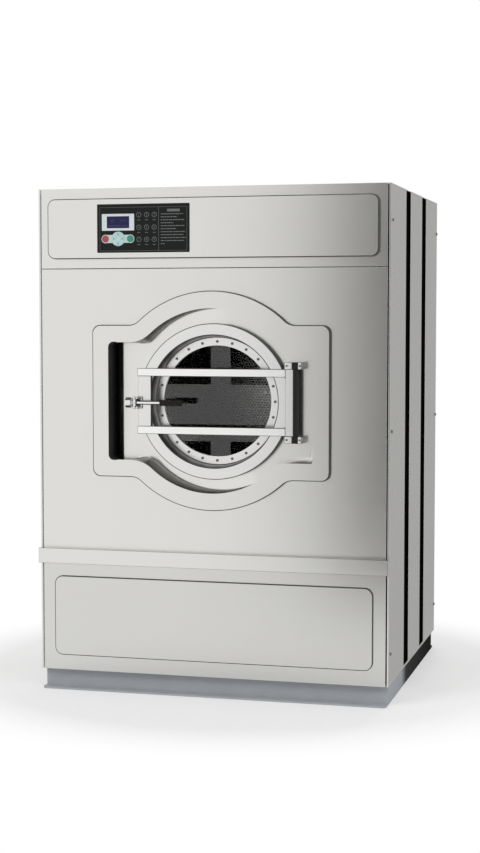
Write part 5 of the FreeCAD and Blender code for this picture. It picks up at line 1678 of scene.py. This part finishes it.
def display():
    """White display frame with a sunk blue violet screen."""
    x, z, _, _ = front_view("display")
    low, high = span("display")
    loops = plate_loops("display", DISPLAY_CORNER, DISPLAY_FILLET)
    sunk = low.y + DISPLAY_SINK
    steps = ((20.0, 9.0, 2.0, low.y), (19.0, 8.0, 2.0, sunk), (1.0, 1.0, 1.2, sunk),
             (0.0, 0.0, SCREEN_CORNER, high.y - SCREEN_LIFT))
    for wider, taller, corner, y in steps:
        loops.append(rounded_loop(x, z, SCREEN_WIDTH + wider, SCREEN_HEIGHT + taller, corner, y))
    points, faces, _ = skin(loops, cap_first=True, cap_last=True)
    picks = [0] * len(faces)
    picks[-1] = 1
    mesh = mesh_from("display_frame", points, faces, [bezel_white, screen_violet], picks)
    stand_in("display", tidied(mesh))
    reading = Print(high.y - READING_LIFT)
    for words, across, size in (("40", -18.0, 14.0), ("25:00", 16.0, 10.0)):
        reading.text(words, x + across, z + READING_Z, size)
    for index in range(READING_BARS):
        left = x + READING_BAR_START + READING_BAR_PITCH * index
        reading.bar(left, left + READING_BAR_WIDTH, z + READING_BAR_FOOT, z + READING_BAR_TOP)
    reading.put("display_reading", screen_digits, BODY_OF["display"], SLOT_OF["display"])


def key_cap(node, material, dome=0.5):
    """A round key with a softly domed top."""
    x, z, width, _ = front_view(node)
    low, high = span(node)
    flange = width / 2
    radius = flange - KEY_FLANGE
    face = low.y
    step = high.y - KEY_FLANGE_DEPTH
    section = [(0.0, face), (0.45 * radius, face + 0.1 * dome), (0.8 * radius, face + 0.5 * dome),
               (radius - 0.5, face + dome), (radius, face + dome + 0.6), (radius, step),
               (flange, step), (flange, high.y), (0.0, high.y)]
    stand_in(node, turned(node + "_cap", section, "Y", (x, z), [material], KEY_STEPS))


def nav_pad():
    """Ring-shaped key with four marks round the enter key."""
    x, z, width, _ = front_view("nav_pad")
    low, high = span("nav_pad")
    flange = width / 2
    outer = flange - KEY_FLANGE
    step = high.y - KEY_FLANGE_DEPTH
    corners = [(NAV_BORE, high.y), (NAV_BORE, low.y), (outer, low.y), (outer, step), (flange, step),
               (flange, high.y)]
    section = softened(corners, (0, 0.5, 1.2, 0, 0, 0), 3)
    stand_in("nav_pad", turned("nav_pad_cap", section, "Y", (x, z), [nav_mint], NAV_STEPS))
    marks = Print(low.y - NAV_MARK_LIFT)
    reach = (NAV_BORE + outer) / 2
    for quarter in range(4):
        turn = math.pi / 2 * quarter
        way_x = math.cos(turn)
        way_z = math.sin(turn)
        tip = (x + way_x * (reach + NAV_MARK_TIP), z + way_z * (reach + NAV_MARK_TIP))
        base_x = x + way_x * (reach - NAV_MARK_BASE)
        base_z = z + way_z * (reach - NAV_MARK_BASE)
        marks.outline([tip, (base_x - way_z * NAV_MARK_HALF, base_z + way_x * NAV_MARK_HALF),
                       (base_x + way_z * NAV_MARK_HALF, base_z - way_x * NAV_MARK_HALF)])
    marks.put("nav_marks", nav_mark, BODY_OF["nav_pad"], SLOT_OF["nav_pad"])


def key_plate_piece():
    """Pale plate that joins the stop key, the ring and the start key."""
    left, z = keypad_spot(STOP_ACROSS, KEY_ROW)
    middle, _ = keypad_spot(NAV_ACROSS, KEY_ROW)
    right, _ = keypad_spot(START_ACROSS, KEY_ROW)
    rounds = ((left, KEY_PLATE_END), (middle, KEY_PLATE_MIDDLE), (right, KEY_PLATE_END))
    length = right - left + 2 * KEY_PLATE_END
    upper = []
    for step in range(KEY_PLATE_STEPS + 1):
        x = left - KEY_PLATE_END + length * step / KEY_PLATE_STEPS
        half = 0.0
        for centre, radius in rounds:
            if abs(x - centre) < radius:
                half = max(half, math.sqrt(radius ** 2 - (x - centre) ** 2))
        if left <= x <= right:
            half = max(half, KEY_PLATE_WAIST)
        upper.append((x, half))
    plate = Print(KEYPAD_FACE - KEY_PLATE_LIFT)
    for (x0, half0), (x1, half1) in zip(upper, upper[1:]):
        spots = [(x0, z - half0), (x1, z - half1), (x1, z + half1), (x0, z + half0)]
        plate.outline([spot for index, spot in enumerate(spots) if spot != spots[index - 1]])
    bmesh.ops.remove_doubles(plate.shape, verts=plate.shape.verts, dist=1e-7)
    plate.put("key_plate", key_plate, BODY_OF["keypad"], SLOT_OF["enter_key"], KEY_PLATE_WALL)


def controls():
    """The keypad with its print, the display and the four keys."""
    keypad_plate()
    keypad_lines()
    keypad_figures()
    display()
    key_plate_piece()
    key_cap("stop_key", stop_red)
    key_cap("start_key", start_green)
    key_cap("enter_key", enter_pale, 0.35)
    nav_pad()


# Stage
def seen_rays(tree):
    """Masks of the camera's own rays, and of those with the rays in metal and glass."""
    rays = tree.nodes.new("ShaderNodeLightPath").outputs
    passed_on = calc(tree, "MAXIMUM", rays["Is Glossy Ray"], rays["Is Transmission Ray"])
    return rays["Is Camera Ray"], calc(tree, "MAXIMUM", rays["Is Camera Ray"], passed_on)


def world_light():
    """White surroundings for the camera and for reflections, softer light for matt surfaces."""
    world = bpy.data.worlds.new("studio")
    world.use_nodes = True
    tree = world.node_tree
    tree.nodes.clear()
    _, seen = seen_rays(tree)
    background = tree.nodes.new("ShaderNodeBackground")
    background.inputs["Color"].default_value = (1.0, 1.0, 1.0, 1.0)
    feed(tree, background.inputs["Strength"], spread(tree, seen, 0.5, 1.0))
    output = tree.nodes.new("ShaderNodeOutputWorld")
    feed(tree, output.inputs["Surface"], background.outputs[0])
    bpy.context.scene.world = world


def soft_lamp(name, place, power):
    """A wide lamp aimed at the machine, which doesn't show in reflections."""
    lamp = bpy.data.lights.new(name, "AREA")
    lamp.shape = "SQUARE"
    lamp.size = LAMP_WIDTH
    lamp.energy = power
    holder = bpy.data.objects.new(name, lamp)
    holder.location = place
    holder.rotation_euler = (Vector(LAMP_AIM) - Vector(place)).to_track_quat("-Z", "Y").to_euler()
    holder.visible_glossy = False
    bpy.context.scene.collection.objects.link(holder)


def stage_piece(name, places, material):
    """A flat stage piece through some places."""
    mesh = mesh_from(name, places, [tuple(range(len(places)))], [material])
    holder = bpy.data.objects.new(name, mesh)
    bpy.context.scene.collection.objects.link(holder)
    return holder


def stage_material(name):
    """A stage material that isn't sampled as a lamp."""
    material = bpy.data.materials.new(name)
    material.cycles.emission_sampling = "NONE"
    material.use_nodes = True
    return material, material.node_tree


def card(name, places, level, in_glass_only=False):
    """A flat card of one brightness that shows in reflections alone, or in those of the glass."""
    material, tree = stage_material(name)
    tree.nodes.clear()
    light = tree.nodes.new("ShaderNodeEmission")
    light.inputs["Strength"].default_value = level
    surface = light.outputs[0]
    if in_glass_only:
        mix = tree.nodes.new("ShaderNodeMixShader")
        feed(tree, mix.inputs[0], tree.nodes.new("ShaderNodeLightPath").outputs["Is Singular Ray"])
        feed(tree, mix.inputs[1], tree.nodes.new("ShaderNodeBsdfTransparent").outputs[0])
        feed(tree, mix.inputs[2], surface)
        surface = mix.outputs[0]
    output = tree.nodes.new("ShaderNodeOutputMaterial")
    feed(tree, output.inputs["Surface"], surface)
    holder = stage_piece(name, [at(*place) for place in places], material)
    holder.visible_camera = False
    holder.visible_diffuse = False
    holder.visible_shadow = False
    holder.visible_transmission = in_glass_only


def upright_card(name, left, right, bottom, top, level, in_glass_only=False):
    """A card that stands upright in front of the machine."""
    corners = ((left, bottom), (right, bottom), (right, top), (left, top))
    card(name, [(x, CARD_Y, z) for x, z in corners], level, in_glass_only)


def cards():
    """Dark and pale cards that the steel reflects, and four black ones that the glass reflects."""
    upright_card("dark_flag", -215.0, 1500.0, -200.0, 2600.0, 0.05)
    card("floor_flag", [(-10.0, -1900.0, CARD_LIFT), (1500.0, -1900.0, CARD_LIFT),
                        (1500.0, CARD_Y, CARD_LIFT), (-215.0, CARD_Y, CARD_LIFT)], 0.1)
    for rise, bottom, top in (("upper", 836.0, 1250.0), ("lower", 350.0, 556.0)):
        for side, left, right in (("left", -1250.0, -850.0), ("right", -750.0, -560.0)):
            upright_card("glass_card_" + rise + "_" + side, left, right, bottom, top, 0.0, True)
    card("side_card", [(600.0, 4000.0, -200.0), (3600.0, 3000.0, -200.0), (3600.0, 3000.0, 3200.0),
                       (600.0, 4000.0, 3200.0)], 0.455)
    card("side_floor_card", [(575.0, 0.0, CARD_LIFT), (3600.0, 0.0, CARD_LIFT),
                             (3600.0, 4000.0, CARD_LIFT), (575.0, 4000.0, CARD_LIFT)], 0.45)


def floor():
    """Pale floor that keeps the shadow near the machine and fades into the white round it."""
    material, tree = stage_material("studio_floor")
    shader = tree.nodes["Principled BSDF"]
    place = object_place(tree)
    tone = colour_mix(tree, noise(tree, place, 1.5, 2.0), (0.88, 0.88, 0.88, 1.0),
                      (0.91, 0.91, 0.91, 1.0))
    feed(tree, shader.inputs["Base Color"], tone)
    shader.inputs["Roughness"].default_value = 0.9
    shader.inputs["Specular IOR Level"].default_value = 0.0
    fade = ranged(tree, length_of(tree, place), FLOOR_FADE_START, FLOOR_FADE_END)
    by_camera, seen = seen_rays(tree)
    share = calc(tree, "MAXIMUM", calc(tree, "MULTIPLY", fade, seen),
                 calc(tree, "MULTIPLY", by_camera, SHADOW_EASE))
    mix = tree.nodes.new("ShaderNodeMixShader")
    feed(tree, mix.inputs[0], share)
    feed(tree, mix.inputs[1], shader.outputs[0])
    feed(tree, mix.inputs[2], tree.nodes.new("ShaderNodeEmission").outputs[0])
    feed(tree, tree.nodes["Material Output"].inputs["Surface"], mix.outputs[0])
    half = FLOOR_HALF
    corners = [(-half, -half, 0), (half, -half, 0), (half, half, 0), (-half, half, 0)]
    stage_piece("studio_floor", corners, material)


def photo_camera():
    """Camera that looks at the machine as the photograph does."""
    camera = bpy.data.cameras.new("photo_camera")
    camera.lens = CAMERA_LENS
    camera.sensor_width = CAMERA_SENSOR
    camera.sensor_fit = "AUTO"
    holder = bpy.data.objects.new("photo_camera", camera)
    holder.location = CAMERA_PLACE
    holder.rotation_euler = (math.radians(90 - CAMERA_TILT), 0.0, math.radians(CAMERA_TURN))
    bpy.context.scene.collection.objects.link(holder)
    bpy.context.scene.camera = holder


def stage():
    """Light, floor, cards and camera."""
    world_light()
    floor()
    soft_lamp("key_lamp", (-2.2, -4.2, 3.6), 100.0)
    soft_lamp("fill_lamp", (3.6, -2.6, 2.6), 48.0)
    soft_lamp("rear_lamp", (0.5, 4.0, 3.2), 60.0)
    cards()
    photo_camera()
    bpy.context.scene.view_settings.view_transform = "Standard"


for node, solid in frame["nodes"].items():
    for holder_slot in solid.material_slots:
        holder_slot.material = FINISH_OF_SLOT[SLOT_OF[node]]
cabinet()
panel_screws()
door()
drum_perforation()
controls()
stage()
